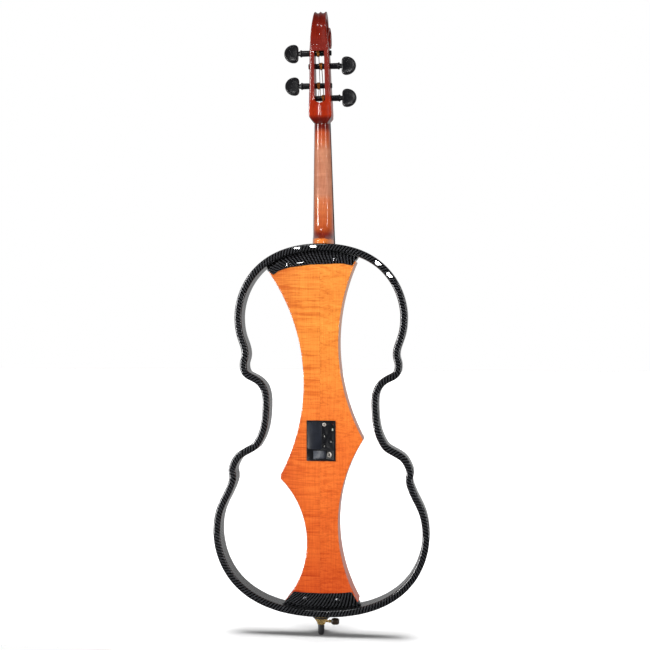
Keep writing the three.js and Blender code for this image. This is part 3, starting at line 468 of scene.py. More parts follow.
MATERIALS = {
    "carbon_twill": carbon_twill(),
    "flamed_maple": flamed_maple(),
    "top_wood": spruce(),
    "plain_wood": plain_wood("plain_wood", rgb(214, 178, 128), rgb(182, 140, 92), 0.7),
    "neck_wood": neck_wood(),
    "ebony": ebony(),
    "bridge_maple": plain_wood("bridge_maple", rgb(222, 184, 130), rgb(196, 150, 96), 0.5),
    "copper_winding": wrapped_thread(),
    "string_steel": wound_string(),
    "black_metal": metal("black_metal", rgb(58, 58, 62), 0.3),
    "cord_polymer": moulded("cord_polymer", (0.012, 0.012, 0.013), 0.6, 3.0),
    "gilt_brass": metal("gilt_brass", rgb(248, 208, 132), 0.24, metallic=0.75),
    "rubber": moulded("rubber", (0.010, 0.010, 0.011), 0.55, 2.0),
    "black_plastic": moulded("black_plastic", (0.0055, 0.006, 0.0085), 0.36, 1.0),
    "nickel": metal("nickel", rgb(236, 228, 218), 0.3, metallic=0.5),
    "battery_shell": metal("battery_shell", rgb(110, 112, 118), 0.45),
    "circuit_green": moulded("circuit_green", rgb(30, 96, 56), 0.4, 1.0, 0.5),
    "led_lens": moulded("led_lens", rgb(92, 40, 34), 0.12, 0.2, 1.0),
    "white_paint": moulded("white_paint", rgb(236, 234, 226), 0.5, 0.5),
    "door_plastic": moulded("door_plastic", (0.015, 0.018, 0.027), 0.34, 1.0),
    "recess_plastic": moulded("recess_plastic", (0.055, 0.062, 0.080), 0.3, 1.0),
    "screw_steel": metal("screw_steel", rgb(150, 150, 154), 0.25),
    "tuner_black": metal("tuner_black", rgb(46, 46, 50), 0.32),
    "switch_cap": moulded("switch_cap", rgb(196, 206, 196), 0.4, 0.6),
    "knob_wood": moulded("knob_wood", (0.028, 0.016, 0.008), 0.35, 1.0, 0.4),
}


# ---------------------------------------------------------------- mesh helpers


def loose(name, data):
    """A new object in the scene, with a mesh, a light or a camera as its data."""
    thing = bpy.data.objects.new(name, data)
    bpy.context.scene.collection.objects.link(thing)
    return thing


def mesh_from(thing):
    """An object's mesh, with the object removed."""
    mesh = thing.data
    bpy.data.objects.remove(thing)
    return mesh


def piece(name, mesh, slot, nodes=(), body=None, look=None, smooth_angle=35.0, bevel=0.0,
          bevel_segments=3):
    """An object of a mesh with its finish; it rides its body and stands for its CAD nodes."""
    thing = loose(name, mesh)
    mesh.materials.clear()
    mesh.materials.append(MATERIALS[look or slot])
    if bevel:
        edge = thing.modifiers.new("edges", "BEVEL")
        edge.width = bevel * MM
        edge.segments = bevel_segments
        edge.limit_method = "ANGLE"
        edge.angle_limit = math.radians(30)
        edge.harden_normals = True
        settle(thing)
    thing.data.shade_smooth()
    thing.data.set_sharp_from_angle(angle=math.radians(smooth_angle))
    body = body or BODY_OF[nodes[0]]
    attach(thing, body)
    if nodes:
        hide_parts(*nodes)
    return thing


def settle(thing):
    """Applies all of an object's modifiers to its mesh."""
    bpy.context.view_layer.update()
    evaluated = thing.evaluated_get(bpy.context.evaluated_depsgraph_get())
    mesh = bpy.data.meshes.new_from_object(evaluated)
    thing.modifiers.clear()
    thing.data = mesh


def mesh_of(name, verts, faces, uvs=None):
    """uvs, where given, is one (u, v) for each corner of each face."""
    mesh = bpy.data.meshes.new(name)
    mesh.from_pydata([tuple(v) for v in verts], [], faces)
    if uvs is not None:
        layer = mesh.uv_layers.new(name="UVMap")
        layer.data.foreach_set("uv", [c for corner in uvs for c in corner])
    mesh.validate()
    work = bmesh.new()
    work.from_mesh(mesh)
    bmesh.ops.recalc_face_normals(work, faces=work.faces)
    work.to_mesh(mesh)
    work.free()
    return mesh


def tube(loops, closed=False):
    """Loops of points joined into one skin, with UVs that measure along and around it in metres."""
    count = len(loops[0])
    verts = [p for loop in loops for p in loop]
    around = [0.0]
    for a, b in zip(loops[0], loops[0][1:] + loops[0][:1]):
        around.append(around[-1] + (b - a).length)
    middles = [sum(loop, Vector()) / count for loop in loops]
    along = [0.0]
    for a, b in zip(middles, middles[1:] + middles[:1]):
        along.append(along[-1] + (b - a).length)
    faces, uvs = [], []
    for i in range(len(loops) if closed else len(loops) - 1):
        near, far = i * count, ((i + 1) % len(loops)) * count
        for j in range(count):
            k = (j + 1) % count
            faces.append((near + j, near + k, far + k, far + j))
            u0, u1, v0, v1 = along[i], along[i + 1], around[j], around[j + 1]
            uvs += [(u0, v0), (u0, v1), (u1, v1), (u1, v0)]
    if not closed:
        last = (len(loops) - 1) * count
        faces.append(tuple(reversed(range(count))))
        faces.append(tuple(range(last, last + count)))
        uvs += [(0.0, 0.0)] * (2 * count)
    return verts, faces, uvs


def skin(name, loops, slot, nodes, closed=False, **options):
    """A piece made of loops of points."""
    return piece(name, mesh_of(name, *tube(loops, closed=closed)), slot, nodes, **options)


def turned_loops(profile, axis, origin, sides, ripple=None):
    """Rings round an axis, of (radius, distance along it) in mm. ripple changes a radius by angle."""
    axis = Vector(axis).normalized()
    side = axis.orthogonal().normalized()
    up = axis.cross(side)
    loops = []
    for radius, distance in profile:
        ring = []
        for k in range(sides):
            angle = 2 * math.pi * k / sides
            reach = ripple(radius, distance, angle) if ripple else radius
            offset = side * (reach * math.cos(angle)) + up * (reach * math.sin(angle))
            ring.append(origin + (axis * distance + offset) * MM)
        loops.append(ring)
    return loops


def turned(name, profile, axis, origin, slot, nodes, sides=48, ripple=None, **options):
    """A turned piece. Its profile runs from foot to head, and ends on its first point for a ring."""
    closed = profile[0] == profile[-1]
    loops = turned_loops(profile[:-1] if closed else profile, axis, origin, sides, ripple)
    return skin(name, loops, slot, nodes, closed=closed, **options)


def rounded_profile(corners, radius, steps=4):
    """A profile with each inner corner rounded. Corners are (radius, distance)."""
    points = [Vector((*c, 0)) for c in corners]
    out = [tuple(points[0][:2])]
    for before, corner, after in zip(points, points[1:], points[2:]):
        back, ahead = before - corner, after - corner
        reach = min(radius, back.length * 0.45, ahead.length * 0.45)
        start, end = corner + back.normalized() * reach, corner + ahead.normalized() * reach
        for i in range(steps + 1):
            t = i / steps
            p = start * (1 - t) ** 2 + corner * (2 * t * (1 - t)) + end * t * t
            out.append((p.x, p.y))
    out.append(tuple(points[-1][:2]))
    return out


def sweep(name, route, radius, slot, nodes, sides=12, **options):
    """A round wire along a route of points in metres, with its radius in mm."""
    steps = [(b - a).normalized() for a, b in zip(route, route[1:])]
    across = None
    loops = []
    for i, point in enumerate(route):
        ahead = (steps[max(i - 1, 0)] + steps[min(i, len(steps) - 1)]).normalized()
        if across is None:
            across = Vector((1, 0, 0)) if abs(ahead.x) < 0.9 else Vector((0, 1, 0))
        across = (across - ahead * across.dot(ahead)).normalized()
        up = ahead.cross(across)
        turn = [2 * math.pi * k / sides for k in range(sides)]
        loops.append([point + (across * math.cos(a) + up * math.sin(a)) * radius * MM for a in turn])
    return skin(name, loops, slot, nodes, smooth_angle=60, **options)


def refined(node, bevel=0.5, segments=3, look=None):
    """A CAD node's solid with its edges rounded, as a piece that stands for it."""
    mesh = NODES[node].data.copy()
    work = bmesh.new()
    work.from_mesh(mesh)
    bmesh.ops.remove_doubles(work, verts=work.verts, dist=1e-6)
    bmesh.ops.dissolve_limit(work, angle_limit=math.radians(0.8), verts=work.verts, edges=work.edges)
    work.to_mesh(mesh)
    work.free()
    piece(node + "_looks", mesh, SLOT_OF[node], [node], look=look, bevel=bevel, bevel_segments=segments)


# ---------------------------------------------------------------- outlines of the hoop and the sound box

RAIL_WIDTH, RAIL_DEPTH, RAIL_ROUND = 14.5, 45.0, 4.2
RAIL_BACK = RAIL_DEPTH / 2

# Half of the hoop's outer edge, from the top down: Bezier pieces of two handles and an end, each
# as (half width, height).
HALF_HOOP = [
    (146, 755, 176, 651, 176, 606),  # upper bout
    (176, 561, 161, 551, 161, 530),
    (161, 523, 165, 518, 165, 509),  # upper corner
    (165, 463, 118, 492, 118, 433),  # waist
    (118, 385, 126, 368, 136, 352),
    (142, 343, 165, 338, 176, 324),  # lower corner
    (182, 316, 189, 302, 188.5, 292),
    (188, 287, 186, 283, 187, 276),
    (198, 236, 220, 226, 220, 168),  # lower bout
    (220, 141, 209, 0, 0, 0),
]
HOOP_STEP = 2.6  # between points of the hoop's outline


def hoop_edge():
    """The hoop's outer edge once round from its top, as points, with the unit way in at each."""
    half = [Vector((0.0, BODY_LENGTH))]
    for x1, h1, x2, h2, x3, h3 in HALF_HOOP:
        start, first, second, end = half[-1].copy(), Vector((x1, h1)), Vector((x2, h2)), Vector((x3, h3))
        length = (first - start).length + (second - first).length + (end - second).length
        half += bezier(start, first, second, end, max(3, round(length / HOOP_STEP)))
    edge = half + [Vector((-p.x, p.y)) for p in reversed(half[1:-1])]
    inward = []
    for before, after in zip(edge[-1:] + edge[:-1], edge[1:] + edge[:1]):
        ahead = (after - before).normalized()
        inward.append(Vector((ahead.y, -ahead.x)))
    return edge, inward


HOOP_EDGE, HOOP_INWARD = hoop_edge()


def hoop_end(inset, top):
    """The hoop's upper or lower end, moved in by inset, as points from -X to +X."""
    level = BODY_LENGTH * (0.86 if top else 0.14)
    points = [e + n * inset for e, n in zip(HOOP_EDGE,
                                            HOOP_INWARD) if (e.y > level if top else e.y < level)]
    return sorted(points, key=lambda p: p.x)


def height_at(points, x):
    """Height at x of a line of points that runs along X."""
    for a, b in zip(points, points[1:]):
        if a.x <= x <= b.x:
            return lerp(a.y, b.y, (x - a.x) / max(b.x - a.x, 1e-9))
    return points[0].y if x < points[0].x else points[-1].y


# The zigzag edges of the sound box are arcs that bow inwards. Each arc is its least distance from
# the middle, the height where that is, and its radius. A side's two arcs meet at a blunt tip between
# two heights.
BOX_EDGES = {
    1: {"upper": (34, 472, 392), "lower": (27, 150, 180), "tip": (286, 278)},
    -1: {"upper": (37, 553, 400), "lower": (36.3, 188, 312), "tip": (360, 356)},
}
BOX_BACK, PLATE_THICK, RIB_THICK = 20.5, 4.0, 4.0
ARCH_TOP, ARCH_RADIUS = -30.5, 560.0
END_INSET = RAIL_WIDTH + 11
SEAM = 0.3  # between neighbouring pieces
NECK_POCKET, NECK_POCKET_FOOT = 20.3, 699.7  # half width and lower end of the recess for the neck's foot


def box_side(side, height, inset=0.0):
    """Distance from the middle to the sound box's edge at a height."""
    edge = BOX_EDGES[side]
    upper_foot, lower_top = edge["tip"]

    def arc(key, h):
        waist, middle, radius = edge[key]
        return waist + radius - math.sqrt((radius + inset) ** 2 - (h - middle) ** 2)

    if height >= upper_foot:
        return arc("upper", height)
    if height <= lower_top:
        return arc("lower", height)
    return lerp(arc("lower", lower_top), arc("upper", upper_foot),
                (height - lower_top) / (upper_foot - lower_top))


def box_grid(inset, rows, columns):
    """Points (x, height) that cover the sound box's outline, row by row from its foot."""
    top, foot = hoop_end(END_INSET + inset, True), hoop_end(END_INSET + inset, False)
    grid = []
    for row in range(rows + 1):
        line = []
        for column in range(columns + 1):
            x, height = 0.0, lerp(45, 710, row / rows)
            for _ in range(6):
                x = lerp(-box_side(-1, height, inset), box_side(1, height, inset), column / columns)
                height = lerp(height_at(foot, x), height_at(top, x), row / rows)
            line.append((x, height))
        grid.append(line)
    return grid


def rim_of(rows, columns):
    """The places round a grid's rim, as (row, column)."""
    return ([(0, c) for c in range(columns)] + [(r, columns) for r in range(rows)]
            + [(rows, c) for c in range(columns, 0, -1)] + [(r, 0) for r in range(rows, 0, -1)])


def arch(x):
    """The front of the arched top at x."""
    return ARCH_TOP + ARCH_RADIUS - math.sqrt(ARCH_RADIUS ** 2 - x * x)


BOX_ROWS, BOX_COLUMNS = 240, 26


def box_plate(name, rings):
    """A plate with the sound box's outline. rings is (inset, depth at x), from one face to the other."""
    rim = rim_of(BOX_ROWS, BOX_COLUMNS)
    wide = BOX_COLUMNS + 1
    verts, faces, rim_places = [], [], []
    for number, (inset, depth) in enumerate(rings):
        grid = box_grid(inset, BOX_ROWS, BOX_COLUMNS)
        first = len(verts)
        if number in (0, len(rings) - 1):
            verts += [spot(x, depth(x), h) for line in grid for x, h in line]
            faces += [(first + r * wide + c, first + r * wide + c + 1, first + (r + 1) * wide + c + 1,
                       first + (r + 1) * wide + c) for r in range(BOX_ROWS) for c in range(BOX_COLUMNS)]
            rim_places.append([first + r * wide + c for r, c in rim])
        else:
            verts += [spot(grid[r][c][0], depth(grid[r][c][0]), grid[r][c][1]) for r, c in rim]
            rim_places.append(list(range(first, first + len(rim))))
    for near, far in zip(rim_places, rim_places[1:]):
        faces += [(near[i], near[(i + 1) % len(rim)], far[(i + 1) % len(rim)],
                   far[i]) for i in range(len(rim))]
    return mesh_of(name, verts, faces)


def combine(thing, operation, *others):
    """Joins a solid with others by an exact boolean, and removes the others."""
    for other in others:
        step = thing.modifiers.new("combine", "BOOLEAN")
        step.operation = operation
        step.solver = "EXACT"
        step.object = other
    settle(thing)
    for other in others:
        bpy.data.objects.remove(other)


def cutter_block(x0, x1, y0, y1, h0, h1):
    low, high = spot(x0, y0, h0), spot(x1, y1, h1)
    corners = [Vector((x, y, z))
               for z in (low.z, high.z) for y in (low.y, high.y) for x in (low.x, high.x)]
    faces = [(0, 2, 3, 1), (4, 5, 7, 6), (0, 1, 5, 4), (2, 6, 7, 3), (0, 4, 6, 2), (1, 3, 7, 5)]
    return loose("cutter", mesh_of("cutter", corners, faces))


# ---------------------------------------------------------------- hoop, sound box and brackets


def rail_section():
    """The rail's section as (distance in from the hoop's edge, depth), round all its corners."""
    far, hold = RAIL_WIDTH - RAIL_ROUND, 0.25
    corners = (
        (RAIL_ROUND, RAIL_BACK - RAIL_ROUND, 180, (0, -1), (1, 0)),
        (far, RAIL_BACK - RAIL_ROUND, 90, (-1, 0), (0, -1)),
        (far, RAIL_ROUND - RAIL_BACK, 0, (0, 1), (-1, 0)),
        (RAIL_ROUND, RAIL_ROUND - RAIL_BACK, -90, (1, 0), (0, 1)),
    )
    points = []
    for cx, cy, start, before, after in corners:
        arc = []
        for i in range(6):
            angle = math.radians(start - 18 * i)
            arc.append((cx + RAIL_ROUND * math.cos(angle), cy + RAIL_ROUND * math.sin(angle)))
        # A point just before and just after each round keeps the flats flat.
        points.append((arc[0][0] + before[0] * hold, arc[0][1] + before[1] * hold))
        points += arc
        points.append((arc[-1][0] + after[0] * hold, arc[-1][1] + after[1] * hold))
    return points


def make_hoop():
    section = rail_section()
    loops = [[spot(e.x + n.x * inset, depth, e.y + n.y * inset) for inset, depth in section]
             for e, n in zip(HOOP_EDGE, HOOP_INWARD)]
    skin("hoop_rail", loops, "carbon_twill", ["carbon_frame"], closed=True, smooth_angle=60)


def make_sound_box():
    inner = BOX_BACK - PLATE_THICK

    def flat(depth):
        return lambda x: depth

    back = piece("back_board", box_plate("back_board", [
        (0, flat(inner)), (0, flat(BOX_BACK - 1.4)), (0.4, flat(BOX_BACK - 0.4)), (1.4, flat(BOX_BACK)),
    ]), "flamed_maple", ["back_plate"], smooth_angle=50)
    low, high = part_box("preamp_case")
    inside = 2.1  # from the case's outside to the opening's edge
    combine(back, "DIFFERENCE", cutter_block(
        low.x / MM + inside, high.x / MM - inside, 0, 40,
        (low.z - HOOP_FOOT) / MM + inside, (high.z - HOOP_FOOT) / MM - inside))

    front = piece("top_board", box_plate("top_board", [
        (1.4, arch), (0.4, lambda x: arch(x) + 0.4), (0, lambda x: arch(x) + 1.4),
        (0, lambda x: arch(x) + PLATE_THICK),
    ]), "top_wood", ["top_plate"], smooth_angle=50)
    combine(front, "DIFFERENCE", cutter_block(-NECK_POCKET, NECK_POCKET, -60, 20, NECK_POCKET_FOOT, 760))

    rim = rim_of(BOX_ROWS, BOX_COLUMNS)
    loops = []
    for inset, at_back in ((0, False), (0, True), (RIB_THICK, True), (RIB_THICK, False)):
        grid = box_grid(inset, BOX_ROWS, BOX_COLUMNS)
        ring = [grid[r][c] for r, c in rim]
        loops.append([spot(x, inner - SEAM if at_back else arch(x) + PLATE_THICK + SEAM, h)
                      for x, h in ring])
    sides = skin("box_ribs", loops, "flamed_maple", ["ribs"], closed=True, smooth_angle=50)
    combine(sides, "DIFFERENCE",
            cutter_block(-NECK_POCKET, NECK_POCKET, -60, -7.7, NECK_POCKET_FOOT, 760))


OVERLAP_START = END_INSET - RAIL_WIDTH  # from the rail to the end of the sound box


def bracket(name, section, top, node, corner, taper):
    """A carbon bracket along one end of the hoop, of a section of (distance in from the rail, depth).

    It ends on the sound box's edges, with the corners of its free edge rounded by corner, and
    narrows by taper towards its ends.
    """
    deepest = max(d for d, _ in section)
    stations = 70
    lines = []
    for inset, depth in section:
        curve = [p for p in hoop_end(RAIL_WIDTH + inset, top)
                 if -box_side(-1, p.y) < p.x < box_side(1, p.y)]
        first, last = curve[0], curve[-1]
        over = max(0.0, inset - (deepest - corner))
        pull = corner - math.sqrt(max(corner ** 2 - over ** 2, 0.0))
        start, end = first.x + pull, last.x - pull
        line = []
        narrowing = taper * max(0.0,
                                (inset - OVERLAP_START) / (deepest - OVERLAP_START)) * (1 if top else -1)
        for i in range(stations + 1):
            x = lerp(start, end, i / stations)
            rise = narrowing * smooth_step((abs(2 * i / stations - 1) - 0.25) / 0.75)
            line.append(spot(x, depth, height_at(curve, x) + rise))
        lines.append(line)
    loops = [[line[i] for line in lines] for i in range(stations + 1)]
    return skin(name, loops, "carbon_twill", [node], bevel=0.5, smooth_angle=40)


def make_brackets():
    def section(outer, inner, corner):
        foot, box_end, low, high = SEAM, OVERLAP_START - SEAM, -7.0, RAIL_BACK
        under = BOX_BACK + SEAM
        steps = [inner - corner * (1 - i / 4) for i in range(5)]
        return ([(foot, low), (box_end, low), (box_end, under)] + [(d, under) for d in steps]
                + [(d, high) for d in reversed(steps)] + [(outer, high), (outer, 10.5), (foot, 10.5)])

    bracket("upper_bracket", section(6.5, 28, 5), True, "top_bracket", 5, 6.5)
    bracket("lower_bracket", section(8.5, 35, 4), False, "bottom_bracket", 4, 1.5)
    for where in ("top_left", "top_right", "bottom_left", "bottom_right"):
        node = "bracket_screw_" + where
        low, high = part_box(node)
        middle = (low + high) / 2
        origin = Vector((middle.x, 0, middle.z))
        seat = RAIL_BACK + SEAM

        def hexagon(radius, distance, angle):
            if radius > 1.5 or distance < seat:
                return radius
            return radius * math.cos(math.pi / 6) / math.cos((angle % (math.pi / 3)) - math.pi / 6)

        dome = [(4.0, seat), (4.0, seat + 0.35), (3.7, seat + 0.9), (3.0, seat + 1.3),
                (2.1, seat + 1.55), (1.45, seat + 1.6)]
        turned(node + "_looks", [(0.01, 6.2), (1.7, 7.4), (1.7, seat), *dome, (1.4, seat + 1.55),
                                 (1.4, seat + 0.4), (0.01, seat + 0.4)],
               (0, 1, 0), origin, "black_metal", [node], sides=36, ripple=hexagon, smooth_angle=40,
               look="screw_steel")


# ---------------------------------------------------------------- neck, pegbox and scroll

NECK_ANGLE, NECK_ROOT = math.radians(6.4), -47.5


def glue_face(height):
    """Depth of the neck's front face at a height."""
    return NECK_ROOT + (height - BODY_LENGTH) * math.tan(NECK_ANGLE)


def on_neck(x, out, along):
    """A point given across the neck, out of its glue face and along it, all in mm from the neck's root."""
    cos, sin = math.cos(NECK_ANGLE), math.sin(NECK_ANGLE)
    return spot(x, NECK_ROOT - out * cos + along * sin, BODY_LENGTH + out * sin + along * cos)


def curve_through(rows, step):
    """Rows of numbers joined by Catmull-Rom curves against their first number, sampled about every step."""
    padded = [[2 * a - b for a, b in zip(rows[0], rows[1])], *rows,
              [2 * a - b for a, b in zip(rows[-1], rows[-2])]]
    out = []
    for p0, p1, p2, p3 in zip(padded, padded[1:], padded[2:], padded[3:]):
        count = max(1, round(abs(p2[0] - p1[0]) / step))
        for i in range(count):
            out.append([catmull_rom(a, b, c, d, i / count) for a, b, c, d in zip(p0, p1, p2, p3)])
    out.append(list(rows[-1]))
    return out


# Height, half width and depth of the neck, from the heel's button up.
NECK_SECTIONS = [
    (755.3, 21.5, 64), (764, 21.5, 61), (770, 21.4, 48), (779, 21.2, 37), (793, 20.7, 29.5),
    (815, 20, 25.5), (850, 19.2, 23), (930, 17.4, 21.5), (985, 16, 20.5), (1016, 15.5, 21),
]


def make_handle():
    loops = []
    for height, half, depth in curve_through(NECK_SECTIONS, 3.0):
        ring = []
        for i in range(25):
            angle = math.pi * i / 24
            across = math.copysign(abs(math.cos(angle)) ** 0.85, math.cos(angle))
            ring.append(spot(half * across, glue_face(height) + depth * math.sin(angle) ** 0.85, height))
        loops.append(ring)
    skin("neck_handle", loops, "neck_wood", ["neck_and_scroll"], smooth_angle=60)
    foot_front, foot_back = glue_face(755.3) + 0.5, -8
    foot = cutter_block(-20, 20, foot_front, foot_back, 700, 727)
    hook = cutter_block(-20, 20, foot_front, -RAIL_BACK - SEAM, 700, 758)
    for number, thing in enumerate((foot, hook)):
        piece("neck_foot_%d" % number, mesh_from(thing), "neck_wood", ["neck_and_scroll"], bevel=0.6)


SCROLL_EYE = (2.0, 1169.0)  # depth and height of the middle of the scroll's eyes


def head_side():
    """The pegbox from the side: depth of its front and of its back at a height, up to the throat."""
    front = [(1002, glue_face(1002)), (1036, glue_face(1036)), (1038, -19.5), (1124, 4.0), (1140, 10.0)]
    back = [(1000, 7.0), (1003, 12.0), (1008, 16.5), (1014, 20.0), (1022, 22.8), (1036, 25.2),
            (1070, 29.4), (1105, 33.9), (1137, 38.2), (1152, 41.0)]
    return front, back


# The head's half width by height.
HEAD_HALF = [(1000, 13.0), (1003, 15.8), (1006, 18.6), (1009, 21.2), (1012, 23.0), (1020, 23.4),
             (1050, 21.9), (1080, 20.7), (1140, 19.6), (1180, 15.6), (1222, 12.0)]


def fluted(half, x, depth, ridge=1.0):
    """How far the surface falls in at x across a strip, between its flat rims.

    There are two flutes with a ridge between them, or a single hollow where ridge is 0.
    """
    rim = 0.13
    t = abs(x) / half
    if t > 1 - rim:
        return 0.0
    t /= 1 - rim
    return depth * lerp(math.cos(math.pi / 2 * t) ** 1.2, math.sin(math.pi * t) ** 0.8, ridge)


def head_block():
    """The pegbox's solid block and the two-lobed chin, as loops up to the throat."""
    front, back = head_side()
    loops = []
    heights = [1000 + i for i in range(0, 41)] + [1040 + 3 * i for i in range(1, 38)]
    for height in heights:
        half = along_line(HEAD_HALF, height)
        near, far = along_line(front, height), along_line(back, height)
        chin = max(0.0, min(1.0, (1042 - height) / 10))
        chamfer = 2.2 * (1 - chin)
        lobes = 3.4 * chin
        ring = [(-half, near + 1.0), (-half + 1.0, near), (half - 1.0, near), (half, near + 1.0),
                (half, far - 2.4 - chamfer)]
        steps = 22
        for i in range(steps + 1):
            x = half * (1 - 2 * i / steps)
            edge = max(0.0, abs(x) - (half - chamfer - 0.6))
            hollow = fluted(half, x, lobes) + 2.0 * chin * (abs(x) / half) ** 4
            ring.append((x * 0.98, far - edge * 0.9 - hollow))
        ring.append((-half, far - 2.4 - chamfer))
        loops.append([spot(x, y, height) for x, y in ring])
    return loops


def scroll_spiral():
    """The scroll: a strip wound from the pegbox's back to the eye, each turn closer in and wider."""
    loops = []
    start, turns = math.radians(-48), 2.35
    count = 190
    for i in range(count + 1):
        t = i / count
        angle = start + 2 * math.pi * turns * t
        reach = scroll_reach(angle)
        half = (lerp(18.6, 12.0, smooth_step(t / 0.16)) if t < 0.2
                else lerp(12.0, 19.5, smooth_step((t - 0.2) / 0.42)))
        half = half if t < 0.62 else lerp(19.5, 21.2, (t - 0.62) / 0.38)
        thick = lerp(17.0, 6.0, smooth_step(t / 0.55))
        thick = min(thick, reach * 0.95)
        flute = 3.0 * smooth_step(t / 0.05) * (1 - smooth_step((t - 0.42) / 0.2))
        ring = []
        steps = 20
        for k in range(steps + 1):
            x = half * (-1 + 2 * k / steps)
            drop = fluted(half, x, flute, smooth_step((t - 0.07) / 0.05))
            ring.append((x, reach - drop - 0.7 * (abs(x) > half - 0.01)))
        ring.append((half, reach - thick))
        ring.append((-half, reach - thick))
        cos, sin = math.cos(angle), math.sin(angle)
        loops.append([spot(x, SCROLL_EYE[0] + r * cos, SCROLL_EYE[1] + r * sin) for x, r in ring])
    return loops


def scroll_reach(angle):
    """Distance of the scroll's outer surface from its eye."""
    by_turns = [
        (-0.14, 42.0), (0.0, 40.6), (0.125, 48.2), (0.19, 54.6), (0.25, 58.0), (0.31, 55.5),
        (0.375, 50.0),
        (0.5, 40.0), (0.625, 34.0), (0.75, 31.0), (0.9, 28.5), (1.0, 27.0), (1.25, 24.0), (1.5, 20.5),
        (1.75, 17.0), (2.0, 14.0), (2.25, 10.0),
    ]
    return along_line(by_turns, angle / (2 * math.pi))


HEAD_VOXEL = 0.6


def make_head():
    eye = turned_loops([(0.01, -21.3), (6.2, -21.3), (7.6, -20.6), (8.0, -19.5), (8.0, 19.5),
                        (7.6, 20.6), (6.2, 21.3), (0.01, 21.3)],
                       (1, 0, 0), spot(0, *SCROLL_EYE), 32)
    web = turned_loops([(0.01, -11.0), (25.0, -11.0), (25.0, 11.0), (0.01, 11.0)], (1, 0, 0),
                       spot(0, *SCROLL_EYE), 40)
    verts, faces = [], []
    for loops in (head_block(), scroll_spiral(), eye, web):
        part_verts, part_faces, _ = tube(loops)
        first = len(verts)
        verts += part_verts
        faces += [tuple(first + i for i in face) for face in part_faces]
    head = loose("head", mesh_of("head", verts, faces))
    carve = head.modifiers.new("carve", "REMESH")
    carve.mode = "VOXEL"
    carve.voxel_size = HEAD_VOXEL * MM
    rub = head.modifiers.new("rub", "SMOOTH")
    rub.factor = 0.5
    rub.iterations = 6
    settle(head)
    combine(head, "DIFFERENCE", slot_cutter(), mouth_cutter())
    piece("pegbox_and_scroll", mesh_from(head), "neck_wood", ["neck_and_scroll"], smooth_angle=42)


def prism(name, outline, axis, low, high):
    """A solid with an outline in mm across two axes, from low to high along the third."""
    places = {"x": lambda a, b, c: spot(c, a, b), "y": lambda a, b, c: spot(a, c, b),
              "z": lambda a, b, c: spot(a, b, c)}
    place = places[axis]
    loops = [[place(a, b, level) for a, b in outline] for level in (low, high)]
    return loose(name, mesh_of(name, *tube(loops)[:2]))


def arc_points(cx, cy, radius, start, end, count):
    """Points round an arc between two angles in degrees."""
    return [(cx + radius * math.cos(math.radians(lerp(start, end, i / count))),
             cy + radius * math.sin(math.radians(lerp(start, end,
                                                      i / count)))) for i in range(count + 1)]


def slot_cutter():
    """The slot that runs through the pegbox, roofed at the back over the highest peg."""
    outline = [(-11, 1042), (0, 1037), (11, 1042)] + arc_points(0, 1139, 10, 0, 180, 14)
    across = prism("slot", outline, "y", -60, 60)
    reach = [(-60, 1030), (60, 1030), (60, 1139), (36, 1139), (33, 1149), (10, 1149), (0, 1120),
             (-60, 1120)]
    limit = prism("limit", reach, "x", -20, 20)
    combine(across, "INTERSECT", limit)
    return across


def mouth_cutter():
    """The slot's wider mouth under the lowest peg, open to the front."""
    return prism("mouth", [(-60, 1034.5), (-9, 1034.5), (2, 1042), (2, 1060), (-60, 1060)],
                 "x", -12.8, 12.8)


CORD_STEP = 1.5  # between points of a smoothed cord, mm


# ---------------------------------------------------------------- fingerboard, nut, pegs and strings

BOARD = {"bottom": -315.0, "top": 273.7, "halves": (31.0, 16.0), "thicks": (14.0, 12.0), "edge": 6.0}
NUT = {"thick": 5.6, "flat": 3.4, "drop": 5.5, "half": 16.3, "high": 13.2, "edge": 9.0}
# Each string: its radius, where it crosses the nut, the bridge and the tailpiece, the side of its
# peg's head, its peg's depth and height, and the middle of its winding.
STRINGS = {
    "c": (0.95, -11.3, -23.5, -19.5, -1, 5.3, 1050.0, -5.2),
    "g": (0.75, -3.8, -7.8, -6.5, -1, 17.8, 1112.0, -2.2),
    "d": (0.6, 3.8, 7.8, 6.5, 1, 22.0, 1137.5, 3.4),
    "a": (0.5, 11.3, 23.5, 19.5, 1, 10.2, 1074.5, 3.8),
}
PEG_FAR, PEG_COLLAR = -23.5, 36.0


def board_ring(along, half, thick, relief=0.0):
    """One section of the fingerboard: a crowned top, small rounded arrises and a flat underside."""
    edge = BOARD["edge"]
    ring = []
    for i in range(25):
        x = -1 + i / 12
        ring.append((half * x,
                     edge + (thick - edge) * (1 - x * x) - (0.5 if abs(x) == 1 else 0.0) - relief))
    ring += [(half, SEAM + 0.6), (half - 0.6, SEAM), (0.6 - half, SEAM), (-half, SEAM + 0.6)]
    return [on_neck(x, out, along) for x, out in ring]


def make_fingerboard():
    bottom, top = BOARD["bottom"], BOARD["top"]
    loops = []
    for along in (bottom, bottom + 0.3, bottom + 1.2,
                  *[lerp(bottom, top, i / 40) for i in range(1, 40)], top):
        t = (along - bottom) / (top - bottom)
        half, thick = lerp(*BOARD["halves"], t), lerp(*BOARD["thicks"], t)
        relief = 0.8 if along == bottom else 0.35 if along < bottom + 0.5 else 0.0
        loops.append(board_ring(along, half - relief, thick, relief))
    skin("fingerboard_looks", loops, "ebony", ["fingerboard"], smooth_angle=40)


